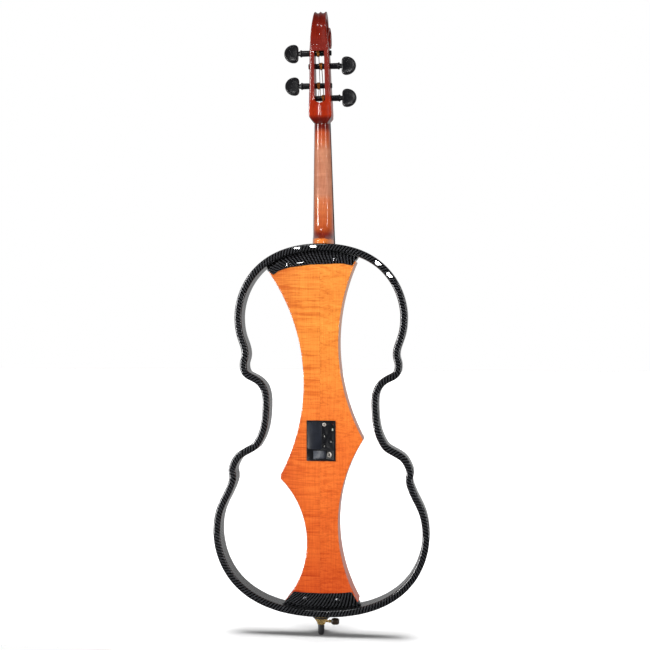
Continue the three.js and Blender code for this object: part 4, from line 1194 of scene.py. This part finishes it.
def make_nut():
    foot = BOARD["top"] + SEAM
    loops = []
    for along, drop in ((0, 0.4), (0.4, 0), (NUT["flat"] - 0.5, 0), (NUT["flat"], 0.3), (4.4, 1.7),
                        (5.1, 3.6), (NUT["thick"], NUT["drop"])):
        ring = []
        for i in range(61):
            x = NUT["half"] * (-1 + i / 30)
            out = NUT["edge"] + (NUT["high"] - NUT["edge"]) * (1 - (x / NUT["half"]) ** 2) - drop
            ring.append(on_neck(x, out, foot + along))
        ring += [on_neck(NUT["half"], SEAM, foot + along), on_neck(-NUT["half"], SEAM, foot + along)]
        loops.append(ring)
    skin("nut_looks", loops, "ebony", ["nut"], smooth_angle=40)


# A peg's thumb piece from behind: Bezier pieces from the middle of its inner side round its upper half.
PEG_HEAD = [((43.5, 9), None), ((43.5, 15), (47, 18.4), (53, 18.4)), ((64, 18.4), (72.7, 10), (72.7, 0)),
            ((72.7, -10), (64, -18.4), (53, -18.4)), ((47, -18.4), (43.5, -15), (43.5, -9))]


def peg_head_outline():
    """The thumb piece's outline once round, with its flat inner side closed."""
    points = [Vector(PEG_HEAD[0][0])]
    for first, second, end in PEG_HEAD[1:]:
        points += bezier(points[-1].copy(), Vector(first), Vector(second), Vector(end), 14)
    closing = [lerp(points[-1], points[0], i / 6) for i in range(1, 6)]
    return points + closing


def make_peg(name):
    _, _, _, _, side, depth, height, _ = STRINGS[name]
    node = "peg_" + name
    centre = spot(0, depth, height)
    shaft = rounded_profile([
        (0.01, PEG_FAR), (5.2, PEG_FAR), (6.1, PEG_COLLAR), (5.7, PEG_COLLAR), (5.7, PEG_COLLAR + 0.5),
        (7.1, PEG_COLLAR + 0.5),
        (7.1, PEG_COLLAR + 3.2), (5.2, PEG_COLLAR + 4.2), (4.4, 43.0), (5.6, 47.0), (0.01, 49.0),
    ], 0.7)
    loops = turned_loops(shaft, (side, 0, 0), centre, 40)
    skin(node + "_shaft", loops, "ebony", [node], smooth_angle=50)

    outline = peg_head_outline()
    middle = Vector((58.0, 0.0))
    # How far in from the outline, as a share, and the half thickness there: a rounded rim and a
    # hollowed face.
    sections = [(1.0, 0.0), (0.996, 1.6), (0.982, 3.0), (0.955, 4.2), (0.915, 5.0), (0.865, 5.45),
                (0.81, 5.5), (0.74, 5.2), (0.62, 4.5), (0.45, 3.9), (0.25, 3.6), (0.08, 3.5)]
    loops = []
    for scale, half in list(reversed([(s, -h) for s, h in sections])) + sections[1:]:
        ring = []
        for p in outline:
            q = middle + (p - middle) * scale
            thin = lerp(1.0, 0.78, max(0.0, (52 - q.x) / 9) if q.x < 52 else 0.0)
            ring.append(spot(side * q.x, half * thin, q.y) - spot(0, 0, 0) + centre)
        loops.append(ring)
    skin(node + "_head", loops, "ebony", [node], smooth_angle=60)


def make_winding(name):
    radius, _, _, _, _, depth, height, middle = STRINGS[name]
    node = "peg_winding_" + name
    span = 3.5 - radius
    pitch = 2 * radius * 1.04
    turns = max(2.0, math.floor(2 * span / pitch * 2) / 2)
    reach = min(6.15 + radius, 7.45 - radius)
    count = round(turns * 28)
    route = []
    for i in range(count + 1):
        angle = 2 * math.pi * i / 28 - math.pi / 2
        x = middle + pitch * (i / 28 - turns / 2)
        route.append(spot(x, depth + reach * math.sin(angle), height + reach * math.cos(angle)))
    sweep(node + "_turns", route, radius, "copper_winding", [node], sides=10)


CROWN_RADIUS = 62.0  # of the bridge's top


def crown_drop(x):
    """How far the bridge's top falls from its middle to x."""
    return CROWN_RADIUS - math.sqrt(CROWN_RADIUS ** 2 - x * x)


TAIL_ANGLE = math.radians(7.6)
BRIDGE_HEIGHT, BRIDGE_TOP, BRIDGE_THICK, BRIDGE_THIN = 344.0, -115.5, 10.0, 2.8


def on_tail(x, out, along):
    """A point given across the tailpiece, out of its underside and along it, in mm from its lower end."""
    cos, sin = math.cos(TAIL_ANGLE), math.sin(TAIL_ANGLE)
    return spot(x, -45.5 - out * cos - along * sin, 30 - out * sin + along * cos)


def tail_thickness(x):
    """Thickness of the tailpiece at x."""
    return 11 - 4 * (x / 30) ** 2


TUNER_HOOK, TUNER_SCREW = 198.5, 176.0  # along the tailpiece
SILK_TOP = 16.0  # length of thread below the nut


def make_string(name):
    radius, nut, bridge, tail, _, depth, height, middle = STRINGS[name]
    node = "string_" + name
    over = SEAM + radius
    slot_out = NUT["edge"] + (NUT["high"] - NUT["edge"]) * (1 - (nut / NUT["half"]) ** 2)
    peg = spot(middle, depth - 7.5 - over, height)
    behind_nut = on_neck(nut, slot_out + over, BOARD["top"] + NUT["flat"] + 2 * SEAM)
    before_nut = on_neck(nut, slot_out + over, BOARD["top"] + 1)
    top = BRIDGE_TOP + crown_drop(bridge) - over
    above_bridge = spot(bridge, top, BRIDGE_HEIGHT + BRIDGE_THIN / 2)
    below_bridge = spot(bridge, top, BRIDGE_HEIGHT - BRIDGE_THIN / 2)
    hook = on_tail(tail, tail_thickness(tail) + over + 1, TUNER_HOOK + 4.5)
    silk_end = lerp(before_nut, above_bridge, SILK_TOP / 690)
    after = lerp(below_bridge, hook, 0.34)
    sweep(node + "_silk", [peg, lerp(peg, behind_nut, 0.5), behind_nut, before_nut, silk_end],
          radius * 1.05, "copper_winding", [], body=BODY_OF[node], sides=10)
    sweep(node + "_speaking", [silk_end, lerp(silk_end, above_bridge, 0.5), above_bridge, below_bridge,
                               after], radius,
          "string_steel", [node], sides=12)
    sweep(node + "_tail", [after, lerp(after, hook, 0.5), hook], radius * 1.05, "copper_winding", [],
          body=BODY_OF[node], sides=10)
    ball = rounded_profile([(0.4, -1.45), (1.5, -1.45), (1.9, -0.9), (1.9, 0.9), (1.5, 1.45),
                            (0.4, 1.45)], 0.4)
    loops = turned_loops(ball, (1, 0, 0), hook, 24)
    skin(node + "_ball", loops, "gilt_brass", [], body=BODY_OF[node], smooth_angle=50)


# ---------------------------------------------------------------- bridge, tailpiece, saddle and tail cord

# Half of the bridge seen along the strings, from the middle of its arch round its foot and up its
# side: half width and height over the arched top. A point marked True is a sharp corner.
HALF_BRIDGE = [
    (0, 19.0, False), (6, 18.2, False), (10.5, 14.5, False), (13, 10.5, False), (17.2, 7.5, False),
    (20, 2.5, False),
    (21.6, -6.0, True), (44.4, -6.0, True), (44.2, 2.0, False), (40, 5.2, False), (33.6, 8.4, False),
    (31.2, 13.5, False),
    (30.6, 20, False), (31.6, 27, False), (36.8, 30.8, False), (37.4, 34.6, False), (34.6, 37.6, False),
    (31.4, 42, False), (29.4, 50, False), (27.4, 57.5, False),
]
CROWN_HALF = 25.5


def rounded_line(rows, step=1.2):
    """Smooth curve through 2-D points (x, y, sharp), left sharp where a point says so."""
    out = []
    stretch = []
    for row in rows:
        stretch.append(row)
        if row[2] or row is rows[-1]:
            if len(stretch) > 2:
                out += smooth_line([Vector(p[:2]) for p in stretch], step)
            else:
                out += [Vector(p[:2]) for p in stretch]
            stretch = [row]
    clean = [out[0]]
    for p in out[1:]:
        if (p - clean[-1]).length > 1e-4:
            clean.append(p)
    return clean


def filled(name, outlines, levels, place):
    """A solid with an outline and holes, between two levels. place(a, b, level) gives a point in metres."""
    work = bmesh.new()
    for level in levels:
        edges = []
        for outline in outlines:
            verts = [work.verts.new(place(a, b, level)) for a, b in outline]
            edges += [work.edges.new((p, q)) for p, q in zip(verts, verts[1:] + verts[:1])]
        bmesh.ops.triangle_fill(work, edges=edges, use_beauty=True)
    work.verts.ensure_lookup_table()
    count = sum(len(outline) for outline in outlines)
    first = 0
    for outline in outlines:
        size = len(outline)
        for i in range(size):
            j = (i + 1) % size
            work.faces.new([work.verts[first + i], work.verts[first + j], work.verts[count + first + j],
                            work.verts[count + first + i]])
        first += size
    bmesh.ops.recalc_face_normals(work, faces=work.faces)
    mesh = bpy.data.meshes.new(name)
    work.to_mesh(mesh)
    work.free()
    return mesh


def ellipse(cx, cy, wide, tall, turn=0.0, count=28):
    """Points round an ellipse of two half sizes, turned by degrees."""
    cos, sin = math.cos(math.radians(turn)), math.sin(math.radians(turn))
    out = []
    for i in range(count):
        a, b = wide * math.cos(2 * math.pi * i / count), tall * math.sin(2 * math.pi * i / count)
        out.append((cx + a * cos - b * sin, cy + a * sin + b * cos))
    return out


def make_bridge():
    side = [(p.x, ARCH_TOP - p.y) for p in rounded_line(HALF_BRIDGE)]
    crown = [(t / 12 * CROWN_HALF, BRIDGE_TOP + crown_drop(t / 12 * CROWN_HALF))
             for t in range(12, -1, -1)]
    half = side + crown
    outline = half + [(-x, y) for x, y in reversed(half[1:-1])]
    heart = [(0, 34.0), (-2.6, 36.8), (-5.0, 40.6), (-5.6, 44.6), (-3.6, 47.6), (-1.2, 46.8), (0, 44.6),
             (1.2, 46.8), (3.6, 47.6), (5.6, 44.6), (5.0, 40.6), (2.6, 36.8)]
    heart = [(x, ARCH_TOP - y) for x, y in heart]
    kidneys = [ellipse(s * 22.0, ARCH_TOP - 36.0, 5.2, 9.5, s * 16) for s in (-1, 1)]

    def place(x, y, face):
        lean = max(0.0, min(1.0, (ARCH_TOP - 10 - y) / (ARCH_TOP - 10 - BRIDGE_TOP)))
        return spot(x, y, BRIDGE_HEIGHT + face * lerp(BRIDGE_THICK, BRIDGE_THIN, lean) / 2)

    mesh = filled("bridge_looks", [outline, heart, *kidneys], (-1, 1), place)
    shape = loose("bridge_shape", mesh)
    under = prism("under", [(x, arch(x) - SEAM) for x in range(-60, 61, 4)] + [(60, 0), (-60, 0)],
                  "z", 320, 370)
    combine(shape, "DIFFERENCE", under)
    piece("bridge_looks", mesh_from(shape), "bridge_maple", ["bridge"], bevel=0.35, bevel_segments=2,
          smooth_angle=40)


def make_tailpiece():
    length = 212.0
    loops = []
    for i in range(61):
        t = i / 60
        along = length * t
        flare = max(0.0, (t - 0.55) / 0.45)
        half = 13 + 6 * t / 0.55 if t < 0.55 else lerp(19, 30, smooth_step(flare) * 0.55 + 0.45 * flare)
        relief = 1.0 if i in (0, 60) else 0.0
        half -= relief * 0.6
        ring = []
        for k in range(25):
            x = half * (-1 + k / 12)
            ring.append(on_tail(x, tail_thickness(x) - relief * 0.6 - (0.6 if k in (0, 24) else 0.0),
                                along))
        ring += [on_tail(half - 0.3, 0.3, along), on_tail(half - 0.8, 0, along),
                 on_tail(0.8 - half, 0, along), on_tail(0.3 - half, 0.3, along)]
        loops.append(ring)
    wood = loose("tail_wood", mesh_of("tail_wood", *tube(loops)))
    cutters = []
    for string in STRINGS.values():
        tail = string[3]
        corners = [(tail - 2.2, TUNER_HOOK - 8), (tail + 2.2, TUNER_HOOK - 8),
                   (tail + 2.2, TUNER_HOOK + 5), (tail - 2.2, TUNER_HOOK + 5)]
        cutters.append(tail_prism(corners))
        cutters.append(tail_prism([(tail + x, TUNER_SCREW + y) for x, y in ellipse(0, 0, 2, 2)]))
    for side in (-1, 1):
        loops = turned_loops([(1.8, -5), (1.8, 14)], (0, -math.sin(TAIL_ANGLE), math.cos(TAIL_ANGLE)),
                             on_tail(side * 6, 4, 0), 20)
        cutters.append(loose("hole", mesh_of("hole", *tube(loops)[:2])))
    combine(wood, "DIFFERENCE", *cutters)
    piece("tailpiece_looks", mesh_from(wood), "ebony", ["tailpiece"], smooth_angle=40)
    fret = [on_tail(x, tail_thickness(x) + 0.05, 207) for x in range(-28, 29, 2)]
    sweep("tail_fret", fret, 0.9, "ebony", [], body=BODY_OF["tailpiece"], sides=10)


def tail_prism(corners):
    """A cutter that passes through the tailpiece, with an outline across and along it."""
    loops = [[on_tail(x, out, along) for x, along in corners] for out in (-10, 30)]
    return loose("tail_cutter", mesh_of("tail_cutter", *tube(loops)[:2]))


def make_tuners():
    out_of = (on_tail(0, 1, 0) - on_tail(0, 0, 0)).normalized()
    for name in STRING_NAMES:
        tail = STRINGS[name][3]
        refined("tuner_lever_" + name, bevel=0.35, segments=2, look="tuner_black")
        surface = tail_thickness(tail) + SEAM
        profile = rounded_profile([
            (0.01, -0.9), (1.5, -0.9), (1.5, surface + 0.8), (2.6, surface + 0.9), (2.9, surface + 1.5),
            (3.6, surface + 1.9), (3.6, surface + 4.8), (2.9, surface + 5.5), (0.01, surface + 5.6),
        ], 0.25, 2)

        def knurl(radius, distance, angle):
            return radius - 0.22 * (math.sin(angle * 14) > 0) if radius > 3.4 else radius

        turned("tuner_screw_%s_looks" % name, profile, out_of, on_tail(tail, 0, TUNER_SCREW),
               "black_metal", ["tuner_screw_" + name], sides=84, ripple=knurl, look="tuner_black")


def make_saddle():
    refined("saddle", bevel=1.2, segments=4)


def make_tail_cord():
    radius, half, out = 1.3, 6.0, 4.0
    front = -RAIL_BACK - 17.5 - SEAM - radius
    around, level = 13.7 + 3 * SEAM + radius, -4.0

    def descent(side):
        return [on_tail(side * half, out, 10), on_tail(side * half, out, -2), spot(side * 7, front, 13),
                spot(side * 8, front, 4), spot(side * 9.5, front + 6, -3), spot(side * 13, -12, level)]

    loop = [spot(around * math.cos(math.radians(200 - 27.5 * i)),
                 around * math.sin(math.radians(200 - 27.5 * i)), level)
            for i in range(9)]
    route = descent(-1) + loop + list(reversed(descent(1)))
    sweep("tail_cord_looks", smooth_line(route, CORD_STEP * MM), radius * 0.97, "cord_polymer",
          ["tail_cord"], sides=12)


# ---------------------------------------------------------------- preamp

FACE = BOX_BACK + SEAM + 2.0  # the preamp's control face
KNOB_SPOTS = {"volume_knob": (-9.4, 368.0), "bass_knob": (-9.4, 348.0), "treble_knob": (-22.4, 356.8)}
VALLEY_LEFT, VALLEY_BED, VALLEY_RIGHT = (13.5, FACE), (-11.0, 7.5), (-28.0, FACE)
VALLEY_HEIGHTS = (319.0, 336.8)


def make_preamp():
    refined("preamp_case", bevel=0.45, segments=3)
    refined("battery_door", bevel=0.4, segments=3, look="door_plastic")
    refined("circuit_board", bevel=0.2, segments=1)
    refined("battery", bevel=1.0, segments=3)
    refined("pickup", bevel=0.25, segments=2)

    # The recess's ramp: a lighter sheet that lies on the slope down to the bed.
    (x0, y0), (x1, y1) = VALLEY_LEFT, VALLEY_BED
    low, high = VALLEY_HEIGHTS
    sheet = 0.35
    rise = Vector((y1 - y0, x0 - x1)).normalized() * -sheet
    corners = [(lerp(x0, x1, 0.02), lerp(y0, y1, 0.02)), (lerp(x0, x1, 0.96), lerp(y0, y1, 0.96))]
    outline = corners + [(x + rise.x, y - rise.y) for x, y in reversed(corners)]
    loops = [[spot(x, y, h) for x, y in outline] for h in (low + 0.5, high - 0.5)]
    skin("recess_ramp", loops, "black_plastic", [], body=BODY_OF["preamp_case"],
          look="recess_plastic", bevel=0.12, bevel_segments=2)

    body = BODY_OF["preamp_case"]
    for name, (x, height) in KNOB_SPOTS.items():
        profile = [(0.01, 7.9), (1.4, 7.9), (1.4, 20.0), (3.2, 20.0), (3.5, 20.2), (3.5, FACE + 0.45),
                   (3.3, FACE + 0.85), (2.9, FACE + 1.0), (2.4, FACE + 0.94), (0.01, FACE + 0.9)]

        def grip(radius, distance, angle):
            return radius - 0.16 * (0.5 + 0.5 * math.cos(angle * 18)) if radius > 3.25 else radius

        turned(name + "_looks", profile, (0, 1, 0), spot(x, 0, height), "black_plastic", [name],
               sides=108, ripple=grip)
        corners = [(-0.42, 0.86), (0.42, 0.86), (0.42, 1.06), (-0.42, 1.06)]
        loops = [[spot(x + dx, FACE + y, height - 0.7 - dz) for dx, y in corners] for dz in (0, 2.1)]
        skin(name + "_mark", loops, "black_plastic", [], body=BODY_OF[name], look="white_paint")

    ring = rounded_profile([
        (0.01, 7.9), (2.9, 7.9), (2.9, FACE + SEAM), (3.8, FACE + SEAM), (3.8, FACE + 1.25),
        (3.3, FACE + 1.6), (2.1, FACE + 1.6), (1.6, FACE + 1.3), (1.6, 12.0), (0.01, 12.0),
    ], 0.25, 3)
    turned("headphone_ring", ring, (0, 1, 0), spot(-9.2, 0, 389.5), "nickel", ["headphone_jack"],
           sides=48)
    lining = [(0.01, 12.02), (1.58, 12.02), (1.58, FACE + 1.0), (1.3, FACE + 1.0), (1.3, 12.6),
              (0.01, 12.6)]
    turned("headphone_lining", lining, (0, 1, 0), spot(-9.2, 0, 389.5), "black_plastic", [], sides=32,
           body=BODY_OF["headphone_jack"], look="rubber")
    lens = [(0.01, 7.9), (1.3, 7.9), (1.3, FACE + 0.2), (1.22, FACE + 0.5), (0.95, FACE + 0.8),
            (0.55, FACE + 1.02), (0.01, FACE + 1.1)]
    turned("power_lens", lens, (0, 1, 0), spot(-25.8, 0, 391), "led_lens", ["power_led"], sides=28)
    refined("power_switch", bevel=0.3, segments=3, look="switch_cap")

    bed, rim = Vector((*VALLEY_BED, 0)), Vector((*VALLEY_RIGHT, 0))
    along = (rim - bed).normalized()
    out = Vector((along.y, -along.x, 0))
    seat = (bed + rim) / 2
    shell = rounded_profile([
        (0.01, -8), (4.2, -8), (4.2, SEAM), (6.0, SEAM), (6.0, 1.5), (4.7, 2.6), (3.3, 2.6), (3.2, 2.2),
        (3.2, -6.5), (0.01, -6.5),
    ], 0.3, 3)
    turned("jack_socket", shell, out, spot(seat.x, seat.y, sum(VALLEY_HEIGHTS) / 2), "nickel",
           ["output_jack"], sides=48)
    lining = [(0.01, -6.45), (3.18, -6.45), (3.18, 1.6), (2.7, 1.6), (2.7, -5.9), (0.01, -5.9)]
    turned("jack_lining", lining, out, spot(seat.x, seat.y, sum(VALLEY_HEIGHTS) / 2), "black_plastic",
           [], sides=32, body=BODY_OF["output_jack"], look="rubber")

    lead = [spot(*p) for p in ((-12.6, -24.7, 344), (-14, -24.3, 345), (-15.6, -22.4, 350),
                               (-16, -18, 358), (-16, -12, 364),
                               (-16, -8, 366), (-16, -2, 366), (-16, 5.7, 366))]
    sweep("pickup_lead_looks", smooth_line(lead, CORD_STEP * MM), 1.05, "cord_polymer", ["pickup_lead"],
          sides=10)

    # A small countersunk screw low on the case.
    screw = [(0.01, FACE - 0.9), (1.35, FACE - 0.9), (1.35, FACE + 0.02), (1.2, FACE + 0.16),
             (0.5, FACE + 0.2), (0.45, FACE - 0.1), (0.01, FACE - 0.1)]
    turned("case_screw", screw, (0, 1, 0), spot(21.3, 0, 321.4), "nickel", [], sides=24, body=body,
           look="screw_steel")


# ---------------------------------------------------------------- endpin


def make_endpin():
    collar_radius, plug, bottom, plug_top, bore = 13.7, 8.0, -18.6, 46.0, 5.4
    profile = rounded_profile([
        (bore, bottom), (7.2, bottom), (8.2, bottom + 1.2), (8.6, bottom + 3.4), (10.6, -11.6),
        (13.0, -9.2), (collar_radius, -7.2),
        (collar_radius, -4.6), (12.9, -3.9), (12.9, -3.2), (collar_radius, -2.5), (collar_radius, -SEAM),
        (plug - 0.4, -SEAM), (plug - 0.8, plug_top), (bore, plug_top),
    ], 0.8, 4)
    turned("collar_looks", profile + [profile[0]], (0, 0, 1), spot(0, 0, 0), "gilt_brass",
           ["endpin_collar"], sides=64, smooth_angle=45)
    rod = rounded_profile([(0.01, -30), (5, -30), (5, 300), (0.01, 300)], 0.8, 3)
    turned("rod_looks", rod, (0, 0, 1), spot(0, 0, 0), "black_metal", ["endpin_rod"], sides=40)
    stand = HOOP_FOOT / MM
    tip = [
        (0.01, -stand), (3.0, -stand), (4.0, -stand + 0.25), (5.2, -stand + 1.3), (6.1, -stand + 3.4),
        (6.5, -stand + 6.5), (6.5, bottom - 3.2),
        (6.3, bottom - 1.6), (5.9, bottom - 1.0), (5.3, bottom - 1.0), (5.3, -30.3), (0.01, -30.3),
    ]
    turned("tip_looks", tip, (0, 0, 1), spot(0, 0, 0), "rubber", ["endpin_tip"], sides=48,
           smooth_angle=50)

    centre = spot(0, 0, -12.5)
    stem = rounded_profile([(0.01, 6), (2.2, 6), (2.2, 15.2), (3.3, 16.2), (3.3, 19.0), (2.4, 19.6),
                            (2.4, 21.4), (0.01, 21.4)], 0.3, 3)

    def thread(radius, distance, angle):
        raised = abs(radius - 2.2) < 0.01 and math.sin(distance * 8 + angle) > 0
        return radius - 0.22 if raised else radius

    turned("screw_stem", stem, (-1, 0, 0), centre, "gilt_brass", ["endpin_thumbscrew"], sides=40,
           ripple=thread)
    grip = [(0.01, 20.6), (3.6, 20.6), (4.6, 21.0), (5.6, 22.0), (6.5, 23.6), (6.95, 25.6), (7.0, 28.0),
            (6.9, 31.2), (6.3, 34.0), (5.2, 36.0), (3.6, 36.8), (0.01, 37.0)]

    def lobes(radius, distance, angle):
        return radius - 0.35 * (0.5 + 0.5 * math.cos(angle * 12)) ** 2 if radius > 5.0 else radius

    turned("screw_grip", grip, (-1, 0, 0), centre, "gilt_brass", ["endpin_thumbscrew"], sides=96,
           ripple=lobes, look="knob_wood", smooth_angle=60)


# ---------------------------------------------------------------- camera and studio


def make_camera():
    """The view from behind, a little to the bass side, level with the middle of the body."""
    target = Vector((-0.0104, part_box("carbon_frame")[1].y, HOOP_FOOT + 0.590))
    azimuth, distance = math.radians(186.8), 2.065
    data = bpy.data.cameras.new("camera")
    data.lens, data.sensor_width = 56.8, 36.0
    camera = loose("camera", data)
    camera.location = target + Vector((math.sin(azimuth), -math.cos(azimuth), 0)) * distance
    camera.rotation_euler = (target - camera.location).to_track_quat("-Z", "Y").to_euler()
    bpy.context.scene.camera = camera


DIFFUSE_WORLD = 0.5  # brightness of the surroundings as a light on matt surfaces
# Brightness of the surroundings in a reflection, from straight behind the cello (0) to behind the
# camera (1).
ROOM = [(0.0, 0.42), (0.28, 0.3), (0.42, 0.1), (0.55, 0.035), (0.75, 0.012), (1.0, 0.01)]


def area_light(name, where, towards, wide, tall, power):
    data = bpy.data.lights.new(name, "AREA")
    data.shape = "RECTANGLE"
    data.size, data.size_y = wide, tall
    data.energy = power
    light = loose(name, data)
    light.location = where
    light.rotation_euler = (Vector(towards) - Vector(where)).to_track_quat("-Z", "Y").to_euler()
    return light


def make_surroundings(tree):
    """White to the camera and to matt surfaces. Gloss reflects white from behind and dark before."""
    tree.nodes.clear()
    path = tree.nodes.new("ShaderNodeLightPath")
    ways = tree.nodes.new("ShaderNodeTexCoord")
    parts = tree.nodes.new("ShaderNodeSeparateXYZ")
    room = tree.nodes.new("ShaderNodeValToRGB")
    centre = tree.nodes.new("ShaderNodeMapRange")
    tree.links.new(ways.outputs["Generated"], parts.inputs[0])
    tree.links.new(parts.outputs["Y"], centre.inputs[0])
    centre.inputs[1].default_value = -1.0
    tree.links.new(centre.outputs[0], room.inputs["Fac"])
    stops = room.color_ramp.elements
    while len(stops) < len(ROOM):
        stops.new(0.5)
    for stop, (where, level) in zip(stops, ROOM):
        stop.position = where
        stop.color = (level, level, level, 1)
    lights = []
    for strength in (DIFFUSE_WORLD, 1.0, 1.0):
        light = tree.nodes.new("ShaderNodeBackground")
        light.inputs["Color"].default_value = (1, 1, 1, 1)
        light.inputs["Strength"].default_value = strength
        lights.append(light)
    diffuse, glossy, shown = lights
    tree.links.new(room.outputs["Color"], glossy.inputs["Color"])
    first = tree.nodes.new("ShaderNodeMixShader")
    second = tree.nodes.new("ShaderNodeMixShader")
    output = tree.nodes.new("ShaderNodeOutputWorld")
    tree.links.new(path.outputs["Is Glossy Ray"], first.inputs[0])
    tree.links.new(diffuse.outputs[0], first.inputs[1])
    tree.links.new(glossy.outputs[0], first.inputs[2])
    tree.links.new(path.outputs["Is Camera Ray"], second.inputs[0])
    tree.links.new(first.outputs[0], second.inputs[1])
    tree.links.new(shown.outputs[0], second.inputs[2])
    tree.links.new(second.outputs[0], output.inputs["Surface"])


# Where small lamps beside the camera glint in the hoop's flat back: x and height, mm.
GLINTS = [(47, 749), (14, 752), (-118, 715), (-141, 690)]
GLINT_REACH = 2.6  # from the hoop to a lamp, m
GLINT_SIZE, GLINT_POWER = (0.026, 0.022), 0.25


def glints():
    """Small lamps, each placed on the way that the hoop's flat back reflects the camera's view."""
    eye = bpy.context.scene.camera.location
    for number, (x, height) in enumerate(GLINTS):
        there = spot(x, RAIL_BACK, height)
        way = there - eye
        way.y = -way.y
        where = there + way.normalized() * GLINT_REACH
        area_light("glint_%d" % number, where, there, *GLINT_SIZE, GLINT_POWER)


FLOOR = (12.0, -12.0, 0.14, -0.0005)  # half its width, its far and near edges along Y, and its height, m


def make_studio():
    scene = bpy.context.scene
    scene.view_settings.view_transform = "Standard"
    scene.view_settings.look = "None"

    world = bpy.data.worlds.new("studio")
    world.use_nodes = True
    make_surroundings(world.node_tree)
    scene.world = world

    wide, far, near, level = FLOOR
    corners = [(-wide, far, level), (wide, far, level), (wide, near, level), (-wide, near, level)]
    floor = loose("floor", mesh_of("floor", corners, [(0, 1, 2, 3)]))
    floor.visible_glossy = False
    floor.visible_diffuse = False
    paper = Shade("floor_paper")
    paper.set(
        Base_Color=(0.085, 0.085, 0.085, 1),
        Roughness=1.0,
        Specular_IOR_Level=0.0,
        Emission_Color=(1, 1, 1, 1),
        Emission_Strength=0.08,
    )
    floor.data.materials.append(paper.material)
    # The endpin's tip stands on the floor however far it is drawn out.
    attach(floor, BODY_OF["endpin_rod"])

    # A lamp straight overhead lights only the floor, so that the object's soft shadow lies under it.
    overhead = bpy.data.lights.new("overhead", "SUN")
    overhead.energy = 54.0
    overhead.angle = math.radians(40)
    lamp = loose("overhead", overhead)
    only_floor = bpy.data.collections.new("only_floor")
    only_floor.objects.link(floor)
    lamp.light_linking.receiver_collection = only_floor

    soft = [
        area_light("key", (1.5, 2.2, 1.7), (0, 0, 0.6), 1.2, 1.2, 44),
        area_light("fill", (-1.6, 1.9, 0.4), (0, 0, 0.4), 1.0, 1.2, 28),
        area_light("front", (0.6, -2.2, 1.8), (0, 0, 0.6), 1.4, 1.4, 26),
    ]
    for lamp in soft:
        lamp.visible_glossy = False
    strips = [
        area_light("left_strip", (1.87, 1.17, 0.8), (0, 0, 0.8), 0.26, 2.1, 90),
        area_light("right_strip", (-1.87, 1.17, 0.8), (0, 0, 0.8), 0.12, 2.1, 20),
        area_light("upper_box", (0.5, 1.3, 2.5), (0, 0, 0.9), 0.7, 0.25, 8),
    ]
    for lamp in strips:
        lamp.visible_diffuse = False
    glints()


# ---------------------------------------------------------------- the whole cello

make_camera()
make_studio()
make_hoop()
make_sound_box()
make_brackets()
make_handle()
make_head()
make_fingerboard()
make_nut()
for string_name in STRING_NAMES:
    make_peg(string_name)
    make_winding(string_name)
    make_string(string_name)
make_bridge()
make_tailpiece()
make_tuners()
make_saddle()
make_tail_cord()
make_preamp()
make_endpin()
for inner_node in ("neck_block", "end_block"):
    refined(inner_node, bevel=0.4, segments=2)
